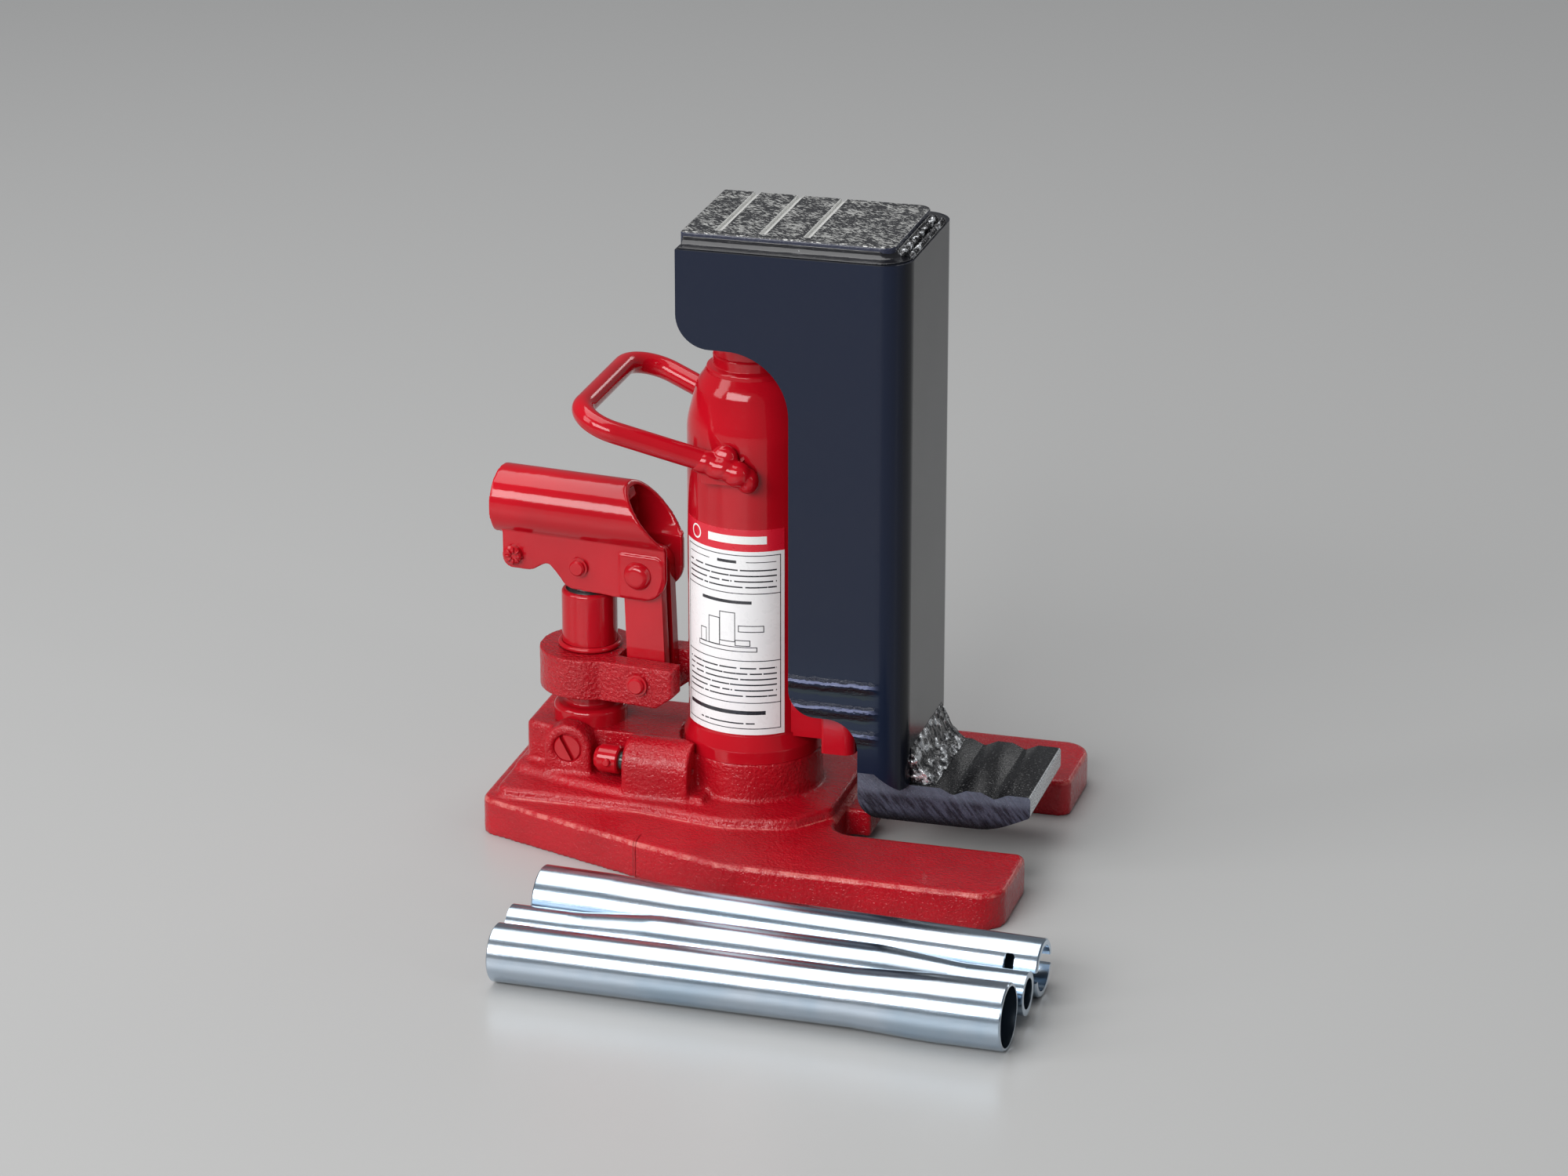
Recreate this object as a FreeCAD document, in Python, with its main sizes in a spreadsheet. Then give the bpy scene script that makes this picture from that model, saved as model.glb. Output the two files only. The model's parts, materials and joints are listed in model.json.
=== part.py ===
"""Hydraulic toe jack: every piece is its own object in one parametric document.

Frame: millimetres, +Z up, the toe points along +X, the origin is on the ground under the reservoir's axis.
"""
import FreeCAD, Part
import math
import os
import Sketcher

DOC = FreeCAD.newDocument("ToeJack")
SHEET = DOC.addObject("Spreadsheet::Sheet", "Sizes")

# Driving sizes: alias, value in millimetres or degrees, what it is.
DRIVING_SIZES = [
    ("jack_height", 232.0, "ground to the head plate's top face"),
    ("base_thick", 14.0, "thickness of the base plate"),
    ("base_half", 73.2, "half the width over the two fork arms"),
    ("base_rear", 93.0, "reservoir axis to the rear edge"),
    ("base_front", 111.0, "reservoir axis to the fork ends"),
    ("rear_half", 38.0, "half width of the rear edge before rounding"),
    ("waist_x", 26.6, "reservoir axis back to the outline's first bend"),
    ("waist_half", 62.1, "half width at the first bend"),
    ("shoulder_x", 10.0, "reservoir axis forward to the second bend"),
    ("slot_half", 33.9, "half width of the fork slot"),
    ("slot_start", 38.0, "reservoir axis to the slot's end wall"),
    ("slot_corner", 9.0, "radius of the slot's inner corners"),
    ("fork_corner", 10.0, "radius of the fork's outer corners"),
    ("web_top", 17.6, "height of the raised web on the plate"),
    ("web_half", 36.3, "half width of the raised web at the rear"),
    ("web_swell", 42.0, "half width of the raised web beside the reservoir"),
    ("pedestal_top", 20.0, "height of the pedestal under the pump deck"),
    ("hub_r", 25.5, "radius of the reservoir seat"),
    ("hub_top", 32.4, "height of the reservoir seat"),
    ("deck_top", 35.0, "height of the pump deck"),
    ("deck_rear", 83.5, "reservoir axis to the deck's rear face"),
    ("deck_near", 12.2, "near half width of the deck at its rear"),
    ("deck_wide", 13.6, "near half width of the deck beside the pump"),
    ("deck_far", 22.0, "far half width of the deck"),
    ("cast_round", 2.0, "rounding of cast edges"),
    ("valve_x", 64.8, "reservoir axis back to the overload valve"),
    ("valve_z", 29.6, "height of the overload valve's axis"),
    ("valve_face", 22.0, "distance of the valve boss's face from the centre plane"),
    ("valve_boss_r", 9.0, "radius of the valve boss"),
    ("valve_boss_foot", 19.0, "height of the valve boss's foot"),
    ("valve_bore_r", 5.2, "radius of the valve bore"),
    ("valve_bore_deep", 13.0, "depth of the valve bore"),
    ("valve_plug_long", 4.6, "length of the slotted valve plug"),
    ("plug_slot", 1.6, "width of the plug's driver slot"),
    ("release_x", 41.4, "reservoir axis back to the release boss's face"),
    ("release_y", 21.5, "release screw axis from the centre plane"),
    ("release_z", 27.2, "height of the release screw"),
    ("release_turn", 6.0, "degrees that the release screw points away from -X"),
    ("release_boss_r", 10.3, "radius of the release boss"),
    ("release_bore_r", 4.2, "radius of the release screw's bore"),
    ("release_bore_deep", 19.0, "depth of the release screw's bore"),
    ("release_recess_r", 6.0, "radius of the recess at the bore's mouth"),
    ("release_passage_r", 1.3, "radius of the oil passage past the release ball"),
    ("release_head_r", 5.2, "radius of the release screw's head"),
    ("release_neck_r", 3.4, "radius of the release screw's neck"),
    ("release_cross_r", 1.5, "radius of the release screw's cross pin"),
    ("release_cross_out", 6.4, "cross pin's height above the bore's mouth, and its half length"),
    ("oil_z", 9.0, "height of the drilled oil passage"),
    ("oil_r", 1.9, "radius of the drilled oil passage"),
    ("oil_boss_x", 46.7, "reservoir axis to the passage boss's face"),
    ("oil_boss_half", 8.8, "half width of the passage boss"),
    ("tank_r", 23.7, "outer radius of the reservoir"),
    ("tank_wall", 2.4, "reservoir wall"),
    ("tank_foot_r", 25.4, "radius of the reservoir's flared foot"),
    ("tank_foot_top", 42.4, "height where the flare ends"),
    ("tank_shoulder", 148.0, "height where the dome begins"),
    ("tank_top", 175.0, "height of the reservoir's top edge"),
    ("filler_z", 138.0, "height of the filler plug"),
    ("filler_angle", 140.0, "degrees from +X to the filler plug"),
    ("filler_r", 3.0, "radius of the filler hole"),
    ("tube_r", 15.5, "outer radius of the pressure cylinder"),
    ("tube_bore_r", 12.5, "bore of the pressure cylinder"),
    ("tube_seat", 24.0, "height of the pressure cylinder's seat"),
    ("tube_top", 174.4, "height of the pressure cylinder's top"),
    ("nut_r", 14.3, "radius of the gland nut's collar"),
    ("nut_top", 187.5, "height of the gland nut's top"),
    ("ram_r", 10.5, "radius of the ram"),
    ("ram_top", 223.9, "height of the ram's upper end"),
    ("slide_gap", 0.05, "radial clearance of sliding fits"),
    ("column_out", 65.1, "reservoir axis to the column's outer face"),
    ("column_half", 34.9, "half width of the column"),
    ("column_wall", 6.3, "thickness of the column's plate"),
    ("column_bend", 10.5, "outer radius of the column's bends"),
    ("column_top", 227.5, "height of the column's top edge"),
    ("column_foot", 31.4, "height of the column's bottom edge"),
    ("cheek_foot", 38.4, "height of the cheeks' bottom edge"),
    ("flag_x", 18.1, "reservoir axis back to the flag's edge"),
    ("flag_foot", 191.9, "height of the flag's lower edge"),
    ("cheek_x", 22.9, "reservoir axis to the cheek's edge"),
    ("cheek_step_x", 48.5, "reservoir axis to the cheek's stepped edge"),
    ("cheek_step_z", 57.7, "height of the step in the cheek's edge"),
    ("head_half", 27.3, "half width of the head plate"),
    ("head_rear", 18.5, "reservoir axis back to the head plate's edge"),
    ("head_front", 58.6, "reservoir axis to the head plate's front edge"),
    ("head_thick", 16.0, "thickness of the head plate"),
    ("head_groove_x", 6.0, "reservoir axis back to the first groove"),
    ("head_groove_step", 16.0, "spacing of the head plate's grooves"),
    ("head_groove_wide", 2.2, "width of the head plate's grooves"),
    ("head_groove_deep", 1.2, "depth of the head plate's grooves"),
    ("head_groove_end", 22.5, "near end of the grooves from the centre plane"),
    ("toe_half", 24.3, "half width of the toe"),
    ("toe_rear", 45.8, "reservoir axis to the toe's rear face"),
    ("toe_tip", 109.6, "reservoir axis to the toe's tip"),
    ("toe_top", 31.3, "height of the toe's lifting face"),
    ("toe_under", 17.0, "height of the toe's underside"),
    ("toe_limb_top", 96.0, "height of the toe's upright limb"),
    ("toe_heel_round", 8.0, "outer radius of the toe's heel"),
    ("groove_wide", 9.6, "width of the toe's grooves"),
    ("groove_deep", 2.2, "depth of the toe's grooves"),
    ("groove_first", 76.4, "reservoir axis to the first groove"),
    ("groove_second", 91.6, "reservoir axis to the second groove"),
    ("guide_face", 45.2, "reservoir axis to the guide's face"),
    ("guide_half", 28.2, "half width of the guide"),
    ("guide_foot", 41.5, "height of the guide's foot"),
    ("guide_top", 158.0, "height of the guide's top"),
    ("guide_thick", 6.0, "thickness of the guide's plate"),
    ("guide_lip", 33.2, "reservoir axis to the edge of the guide's lips"),
    ("rib_start", 17.5, "reservoir axis to the inner edge of the guide's ribs"),
    ("rib_in", 10.0, "centre plane to the near side of the guide's ribs"),
    ("rib_out", 15.0, "centre plane to the far side of the guide's ribs"),
    ("pump_x", 62.4, "reservoir axis back to the pump's axis"),
    ("head_yaw", -6.0, "degrees that the pump head is turned about the pump"),
    ("pump_r", 10.2, "radius of the pump cylinder"),
    ("pump_top", 85.2, "height of the pump cylinder's top"),
    ("pump_flange_r", 13.6, "radius of the pump's foot flange"),
    ("pump_flange_top", 41.3, "height of the foot flange's top"),
    ("pump_neck_r", 9.1, "radius of the neck over the flange"),
    ("pump_bore_r", 6.5, "bore of the pump cylinder"),
    ("packing_r", 8.6, "outer radius of the pump's packing"),
    ("packing_long", 6.0, "length of the pump's packing"),
    ("snap_z", 64.2, "height of the snap ring"),
    ("snap_wire", 1.0, "wire radius of the snap ring"),
    ("collar_r", 18.5, "radius of the link bracket's collar"),
    ("collar_foot", 47.8, "height of the collar's foot"),
    ("collar_top", 63.0, "height of the collar's top"),
    ("ear_out", 15.5, "half width over the bracket's ears"),
    ("ear_in", 6.8, "half width of the gap between the ears"),
    ("near_ear", 39.2, "reach of the near ear"),
    ("far_ear", 37.2, "reach of the far ear"),
    ("ear_chamfer", 6.0, "cut on the ears' lower corner"),
    ("ear_pin_u", 25.5, "pump axis to the ear pin"),
    ("ear_pin_z", 56.2, "height of the ear pin"),
    ("ear_pin_r", 3.5, "radius of the ear pin"),
    ("link_thick", 4.5, "thickness of each link plate"),
    ("link_half", 7.4, "half width of the links"),
    ("link_gap", 4.0, "gap between the two links"),
    ("rivet_u", 23.5, "pump axis to the fulcrum rivet"),
    ("pivot_z", 96.1, "height of the plunger pin and the fulcrum rivet"),
    ("rivet_r", 4.0, "radius of the fulcrum rivet's shank"),
    ("rivet_head_r", 5.3, "radius of the fulcrum rivet's head"),
    ("rivet_head_high", 2.8, "height of the fulcrum rivet's head"),
    ("rivet_slack", 1.1, "clearance of the rivet in the links"),
    ("pivot_pin_r", 3.0, "radius of the plunger pin"),
    ("plunger_foot", 44.0, "height of the plunger's lower end"),
    ("plunger_top", 102.0, "height of the plunger's top"),
    ("socket_r", 12.8, "outer radius of the handle socket"),
    ("socket_bore_r", 10.6, "bore of the handle socket"),
    ("socket_z", 115.6, "height of the socket's axis"),
    ("socket_seat", 14.5, "pump axis to where the socket's fitted bore ends"),
    ("socket_rear", 34.0, "pump axis back to the socket's mouth"),
    ("socket_cut_u", 16.4, "pump axis to the top of the slanting end"),
    ("socket_cut_end", 32.6, "pump axis to the foot of the slanting end"),
    ("socket_cut_z", 108.2, "height of the foot of the slanting end"),
    ("cheek_out", 9.2, "half width over the socket's cheeks"),
    ("cheek_in", 6.8, "half width between the socket's cheeks"),
    ("joggle_u", 16.4, "pump axis to the joggle in the cheeks"),
    ("joggle_out", 9.9, "half width over the joggled cheeks"),
    ("clamp_u", 26.0, "pump axis back to the clamp bolt"),
    ("clamp_z", 97.6, "height of the clamp bolt"),
    ("clamp_r", 2.6, "radius of the clamp bolt"),
    ("grip_r", 4.0, "radius of the carry handle's bar"),
    ("grip_tilt", 18.3, "degrees that the carry handle slopes up"),
    ("grip_start_x", 3.0, "reservoir axis to the carry handle's ends"),
    ("grip_start_y", 27.75, "centre plane to the carry handle's ends"),
    ("grip_start_z", 144.0, "height of the carry handle's ends"),
    ("grip_straight", 14.0, "length of the handle's straight ends"),
    ("grip_reach", 61.8, "length of the carry handle along its slope"),
    ("grip_splay", 11.5, "how far the handle's legs splay outward"),
    ("grip_bend", 13.0, "radius of the carry handle's corners"),
    ("label_foot", 43.4, "height of the label's lower edge"),
    ("label_top", 122.0, "height of the label's upper edge"),
    ("label_thick", 0.15, "thickness of the label"),
    ("label_start", -150.0, "degrees from +X to the label's left edge"),
    ("label_sweep", 104.0, "degrees that the label covers"),
    ("bar_r", 10.2, "outer radius of the handle tubes"),
    ("bar_wall", 2.2, "wall of the handle tubes"),
    ("bar_flare_r", 11.6, "outer radius of the tubes' flared ends"),
    ("bar_flare_bore_r", 10.45, "bore of the tubes' flared ends"),
    ("bar_flare_long", 26.0, "length of the flared ends"),
    ("bar_neck_r", 7.6, "radius of the middle tube's necks"),
    ("bar_neck_long", 24.0, "length of the middle tube's necks"),
    ("bar_taper", 28.0, "length of the taper between two tube sizes"),
    ("bar_blend", 60.0, "radius that blends a taper into the tube"),
    ("bar_front_long", 181.6, "length of the front and rear tubes"),
    ("bar_middle_long", 184.6, "length of the middle tube"),
]


class Size:
    """A number with the sheet expression it came from, so that sums of sizes stay parametric."""

    def __init__(self, value, text=None):
        self.value = float(value)
        self.text = text or "(%.6f)" % self.value

    def _join(self, other, sign, value):
        return Size(value, "(%s %s %s)" % (self.text, sign, as_size(other).text))

    def __add__(self, other):
        return self._join(other, "+", self.value + as_size(other).value)

    def __sub__(self, other):
        return self._join(other, "-", self.value - as_size(other).value)

    def __mul__(self, other):
        return self._join(other, "*", self.value * as_size(other).value)

    def __truediv__(self, other):
        return self._join(other, "/", self.value / as_size(other).value)

    def __neg__(self):
        return as_size(0) - self


def as_size(number):
    """Returns a Size for a plain number, and a Size as it is."""
    return number if isinstance(number, Size) else Size(number)


def fill_sheet():
    """Writes the driving sizes into the sheet and returns them as a name to Size table."""
    sizes = {}
    for row, (alias, value, meaning) in enumerate(DRIVING_SIZES, start=1):
        SHEET.set("A%d" % row, meaning)
        SHEET.set("B%d" % row, str(value))
        SHEET.setAlias("B%d" % row, alias)
        sizes[alias] = Size(value, "Sizes." + alias)
    DOC.recompute()
    return sizes


S = fill_sheet()
PARTS = []


# ---- document helpers ----------------------------------------------------------------------------

def bind(thing, prop, size):
    """Binds one property of an object to a size's expression."""
    thing.setExpression(prop, as_size(size).text)


def place(thing, x=0, y=0, z=0, turn=None):
    """Puts an object at x, y, z, turned by a FreeCAD rotation."""
    base = FreeCAD.Vector(as_size(x).value, as_size(y).value, as_size(z).value)
    thing.Placement = FreeCAD.Placement(base, turn or FreeCAD.Rotation())
    for axis, size in (("x", x), ("y", y), ("z", z)):
        bind(thing, "Placement.Base." + axis, size)


def place_at(thing, point, turn):
    """Puts an object at a worked-out point."""
    place(thing, point.x, point.y, point.z, turn)


def keep(thing, label):
    """Names a finished sub-part and lists it for export."""
    thing.Label = label
    PARTS.append(thing)
    return thing


def new_body(label):
    """Starts a PartDesign body that becomes the sub-part called label."""
    body = DOC.addObject("PartDesign::Body", "Body_" + label)
    return keep(body, label)


def sketch_on(body, role, lift=0):
    """Adds a sketch on one of the body's own origin planes, lifted along the plane's normal."""
    sketch = body.newObject("Sketcher::SketchObject", "Sketch")
    plane = [item for item in body.Origin.OriginFeatures if item.Role == role][0]
    sketch.AttachmentSupport = [(plane, "")]
    sketch.MapMode = "FlatFace"
    bind(sketch, "AttachmentOffset.Base.z", lift)
    return sketch


def fix_point(sketch, geometry, point, x, y):
    """Pins one sketch point to the sketch's origin by two signed distances."""
    for kind, size in (("DistanceX", x), ("DistanceY", y)):
        size = as_size(size)
        index = sketch.addConstraint(Sketcher.Constraint(kind, -1, 1, geometry, point, size.value))
        sketch.setExpression("Constraints[%d]" % index, size.text)


def draw_circle(sketch, x, y, radius):
    """Draws a circle with a pinned centre and a bound radius."""
    radius = as_size(radius)
    centre = FreeCAD.Vector(as_size(x).value, as_size(y).value, 0)
    circle = sketch.addGeometry(Part.Circle(centre, FreeCAD.Vector(0, 0, 1), radius.value), False)
    fix_point(sketch, circle, 3, x, y)
    index = sketch.addConstraint(Sketcher.Constraint("Radius", circle, radius.value))
    sketch.setExpression("Constraints[%d]" % index, radius.text)


def corner_cut(previous, corner, following, radius):
    """Returns a rounded corner's two tangent points and its arc's middle."""
    back = (previous - corner).normalize()
    ahead = (following - corner).normalize()
    half = math.acos(max(-1.0, min(1.0, back.dot(ahead)))) / 2
    reach = radius / math.tan(half)
    start = corner + back * reach
    end = corner + ahead * reach
    inward = (back + ahead).normalize()
    middle = corner + inward * (radius / math.sin(half) - radius)
    return start, middle, end


def draw_outline(sketch, corners, closed=True):
    """Draws straight runs through (x, y) or (x, y, radius) corners, rounding those with a radius.

    Each corner's own point is pinned to the sheet, and a rounded corner's arc is tangent to both runs.
    """
    count = len(corners)
    points = [FreeCAD.Vector(as_size(c[0]).value, as_size(c[1]).value, 0) for c in corners]
    rounded = [len(c) > 2 for c in corners]
    cuts = []
    for i, corner in enumerate(corners):
        if rounded[i]:
            radius = as_size(corner[2]).value
            cuts.append(corner_cut(points[i - 1], points[i], points[(i + 1) % count], radius))
        else:
            cuts.append((points[i], None, points[i]))
    runs = count if closed else count - 1
    lines = []
    for i in range(runs):
        segment = Part.LineSegment(cuts[i][2], cuts[(i + 1) % count][0])
        lines.append(sketch.addGeometry(segment, False))
    first = 0 if closed else 1
    last = count if closed else count - 1
    for i in range(first, last):
        before, after = lines[i - 1], lines[i]
        if not rounded[i]:
            sketch.addConstraint(Sketcher.Constraint("Coincident", before, 2, after, 1))
            fix_point(sketch, after, 1, corners[i][0], corners[i][1])
            continue
        start, middle, end = cuts[i]
        arc = sketch.addGeometry(Part.Arc(start, middle, end), False)
        ends = (1, 2) if sketch.getPoint(arc, 1).distanceToPoint(start) < 1e-6 else (2, 1)
        sketch.addConstraint(Sketcher.Constraint("Tangent", before, 2, arc, ends[0]))
        sketch.addConstraint(Sketcher.Constraint("Tangent", arc, ends[1], after, 1))
        radius = as_size(corners[i][2])
        index = sketch.addConstraint(Sketcher.Constraint("Radius", arc, radius.value))
        sketch.setExpression("Constraints[%d]" % index, radius.text)
        apex = sketch.addGeometry(Part.Point(points[i]), True)
        sketch.addConstraint(Sketcher.Constraint("PointOnObject", apex, 1, before))
        sketch.addConstraint(Sketcher.Constraint("PointOnObject", apex, 1, after))
        fix_point(sketch, apex, 1, corners[i][0], corners[i][1])
    if not closed:
        fix_point(sketch, lines[0], 1, corners[0][0], corners[0][1])
        fix_point(sketch, lines[-1], 2, corners[-1][0], corners[-1][1])


def mirrored(corners):
    """Returns the corners followed by their mirror images about the sketch's X axis."""
    other_half = [(c[0], -as_size(c[1])) + tuple(c[2:]) for c in reversed(corners)]
    return list(corners) + other_half


def extrude(body, kind, sketch, length, reverse=False, both_ways=False):
    """Adds a Pad or a Pocket of the given length from a sketch."""
    feature = body.newObject("PartDesign::" + kind, kind)
    feature.Profile = sketch
    bind(feature, "Length", length)
    feature.Reversed = reverse
    feature.Midplane = both_ways
    return feature


def pad(body, role, corners, length, lift=0, reverse=False, both_ways=False):
    """Pads an outline drawn on one of the body's origin planes."""
    sketch = sketch_on(body, role, lift)
    draw_outline(sketch, corners)
    return extrude(body, "Pad", sketch, length, reverse, both_ways)


def pocket(body, role, corners, length, lift=0, reverse=False, both_ways=False):
    """Cuts an outline drawn on one of the body's origin planes."""
    sketch = sketch_on(body, role, lift)
    draw_outline(sketch, corners)
    return extrude(body, "Pocket", sketch, length, reverse, both_ways)


def boss(body, role, x, y, radius, length, lift=0, reverse=False, both_ways=False):
    """Pads a round boss."""
    sketch = sketch_on(body, role, lift)
    draw_circle(sketch, x, y, radius)
    return extrude(body, "Pad", sketch, length, reverse, both_ways)


def bore(body, role, x, y, radius, length, lift=0, reverse=False, both_ways=False):
    """Cuts a round hole."""
    sketch = sketch_on(body, role, lift)
    draw_circle(sketch, x, y, radius)
    return extrude(body, "Pocket", sketch, length, reverse, both_ways)


def rectangle(x_low, x_high, y_low, y_high, radius=None):
    """Returns the corners of a rectangle, rounded when a radius is given."""
    tail = () if radius is None else (radius,)
    return [(x_low, y_low) + tail, (x_high, y_low) + tail, (x_high, y_high) + tail, (x_low, y_high) + tail]


def turned(label, profile):
    """Makes a sub-part by revolving a (radius, height) profile about the body's own Z axis."""
    body = new_body(label)
    spin(body, "Revolution", profile)
    return body


def spin(body, kind, profile):
    """Adds a Revolution or a Groove about the body's Z axis from a (radius, height) profile."""
    sketch = sketch_on(body, "XZ_Plane")
    draw_outline(sketch, profile)
    feature = body.newObject("PartDesign::" + kind, kind)
    feature.Profile = sketch
    feature.ReferenceAxis = (sketch, ["V_Axis"])
    feature.Angle = 360
    return feature


def tube_profile(outer, inner, foot, top):
    """Returns the profile of a plain ring or tube."""
    return [(inner, foot), (outer, foot), (outer, top), (inner, top)]


def rod_profile(radius, foot, top, edge=0.4):
    """Returns the profile of a plain rod with its two ends' edges broken."""
    return [(0, foot), (radius - edge, foot), (radius, foot + edge),
            (radius, top - edge), (radius - edge, top), (0, top)]


def round_edges(body, feature, radius, wanted):
    """Rounds the feature's edges that the test picks."""
    DOC.recompute()
    names = ["Edge%d" % (i + 1) for i, edge in enumerate(feature.Shape.Edges) if wanted(edge)]
    fillet = body.newObject("PartDesign::Fillet", "Fillet")
    fillet.Base = (feature, names)
    bind(fillet, "Radius", radius)
    return fillet


def lies_at_height(edge, height):
    """True for an edge that lies level at a height."""
    box = edge.BoundBox
    return abs(box.ZMin - height) < 1e-4 and abs(box.ZMax - height) < 1e-4


ABOUT_X = FreeCAD.Rotation(FreeCAD.Vector(1, 0, 0), 90)
HEAD_TURN = FreeCAD.Rotation(FreeCAD.Vector(0, 0, 1), S["head_yaw"].value)
PIN_TURN = HEAD_TURN.multiply(ABOUT_X)


def place_on_head(thing):
    """Puts a piece drawn about the pump's axis at the pump, turned with the pump head."""
    place(thing, -S["pump_x"], 0, 0, HEAD_TURN)


def place_head_pin(thing, u, z):
    """Lays a turned piece along the head's cross axis, u along the head and z up."""
    turn = math.radians(S["head_yaw"].value)
    place(thing, as_size(u) * math.cos(turn) - S["pump_x"], as_size(u) * math.sin(turn), z, PIN_TURN)


# ---- base ---------------------------------------------------------------------------------------

def base_casting():
    """The cast base: forked plate, reservoir seat, pump deck, valve bosses and drilled passages."""
    body = new_body("base_casting")
    plate = mirrored([
        (S["slot_start"], -S["slot_half"], S["slot_corner"]),
        (S["base_front"], -S["slot_half"], 4),
        (S["base_front"], -S["base_half"], S["fork_corner"]),
        (S["shoulder_x"], -S["base_half"], 25),
        (-S["waist_x"], -S["waist_half"], 30),
        (-S["base_rear"], -S["rear_half"], 8),
    ])
    solid = pad(body, "XY_Plane", plate, S["base_thick"])
    round_edges(body, solid, S["cast_round"], lambda e: lies_at_height(e, S["base_thick"].value))
    web = mirrored([
        (S["slot_start"] - 2, -22, 6),
        (24, -37, 14),
        (0, -S["web_swell"], 24),
        (-34, -S["web_half"], 20),
        (-88, -S["web_half"], 5),
    ])
    inset = S["base_thick"] - 4
    solid = pad(body, "XY_Plane", web, S["web_top"] - inset, inset)
    round_edges(body, solid, 1.6, lambda e: lies_at_height(e, S["web_top"].value))
    pedestal = [(-87, -18, 5), (-62, -27, 8), (-40, -31.5, 4), (-10, -31.5), (-10, 28), (-87, 26, 6)]
    solid = pad(body, "XY_Plane", pedestal, S["pedestal_top"] - inset, inset)
    round_edges(body, solid, 1.8, lambda e: lies_at_height(e, S["pedestal_top"].value))
    boss(body, "XY_Plane", 0, 0, S["hub_r"], S["hub_top"] - inset, inset)
    deck = [
        (-S["deck_rear"], -S["deck_near"], 3),
        (-70.6, -S["deck_wide"] - 1.6, 3),
        (-56, -S["deck_wide"]),
        (-10, -S["deck_wide"]),
        (-10, S["deck_far"]),
        (-S["deck_rear"], S["deck_far"], 4),
    ]
    solid = pad(body, "XY_Plane", deck, S["deck_top"] - inset, inset)
    valve_boss(body)
    release_boss(body)
    pad(body, "XY_Plane", rectangle(30, S["oil_boss_x"], -S["oil_boss_half"], S["oil_boss_half"]), 10, 2.3)
    base_bores(body)
    DOC.recompute()
    top_edges = deck_edges(body.Tip)
    round_edges(body, body.Tip, 1.5, top_edges)


def deck_edges(feature):
    """Returns a test that picks the deck's outer top edges."""
    level = S["deck_top"].value

    def wanted(edge):
        box = edge.BoundBox
        outside = box.XMax < -S["pump_x"].value - 4 or (box.YMin > 15 and box.XMax < -24)
        return lies_at_height(edge, level) and outside
    return wanted


def valve_boss(body):
    """The D-shaped boss of the overload valve on the near side of the deck."""
    width = S["valve_boss_r"]
    shape = [
        (-S["valve_x"] - width, S["valve_boss_foot"]),
        (-S["valve_x"] + width, S["valve_boss_foot"]),
        (-S["valve_x"] + width, S["valve_z"] + width, width - 0.2),
        (-S["valve_x"] - width, S["valve_z"] + width, width - 0.2),
    ]
    solid = pad(body, "XZ_Plane", shape, S["valve_face"] - 9, 9)
    round_edges(body, solid, 1.4, valve_rim)


def valve_rim(edge):
    """True for the edges around the valve boss's face."""
    box = edge.BoundBox
    on_face = abs(box.YMin + S["valve_face"].value) < 1e-4 and abs(box.YMax + S["valve_face"].value) < 1e-4
    return on_face and box.ZMax > S["pedestal_top"].value + 1


def release_boss(body):
    """The boss that holds the release screw, beside the reservoir seat."""
    shape = [
        (-S["release_y"] - S["release_boss_r"], S["pedestal_top"] - 5),
        (-S["release_y"] + S["release_boss_r"], S["pedestal_top"] - 5),
        (-S["release_y"] + S["release_boss_r"], S["release_z"] + S["release_boss_r"], 10),
        (-S["release_y"] - S["release_boss_r"], S["release_z"] + S["release_boss_r"], 10),
    ]
    solid = pad(body, "YZ_Plane", shape, S["release_x"] - 16, -S["release_x"])
    round_edges(body, solid, 1.6, release_rim)


def release_rim(edge):
    """True for the edges around the release boss's mouth."""
    box = edge.BoundBox
    on_face = abs(box.XMin + S["release_x"].value) < 1e-4 and abs(box.XMax + S["release_x"].value) < 1e-4
    return on_face and box.ZMax > S["pedestal_top"].value + 1


def base_bores(body):
    """Cuts the pressure seat, the pump's bore, the valves' bores and the oil passages."""
    bore(body, "XY_Plane", 0, 0, S["tube_r"], 30, S["tube_seat"], reverse=True)
    bore(body, "XY_Plane", 0, 0, 9, 30, S["tube_seat"] - 6, reverse=True)
    # The reservoir and the pump's flange each stand clear of the deck and its bosses.
    bore(body, "XY_Plane", 0, 0, S["hub_r"] + 1.2, 30, S["hub_top"], reverse=True)
    bore(body, "XY_Plane", -S["pump_x"], 0, S["pump_flange_r"] + 0.2, 30, S["deck_top"], reverse=True)
    bore(body, "XY_Plane", -S["pump_x"], 0, 4, 40, 16, reverse=True)
    bore(body, "XY_Plane", -S["pump_x"], 0, S["oil_r"], 20, S["oil_z"] - 3, reverse=True)
    bore(body, "XY_Plane", 0, 0, S["oil_r"], 20, S["oil_z"] - 3, reverse=True)
    bore(body, "YZ_Plane", 0, S["oil_z"], S["oil_r"], S["oil_boss_x"] + S["pump_x"] + 3, -S["pump_x"] - 3,
         reverse=True)
    bore(body, "XZ_Plane", -S["valve_x"], S["valve_z"], S["valve_bore_r"], S["valve_bore_deep"],
         S["valve_face"])
    bore(body, "XZ_Plane", -S["pump_x"], S["valve_z"], 1.2, S["valve_face"] - 1, S["valve_face"] - 3)
    cut_release_bore(body)


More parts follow.
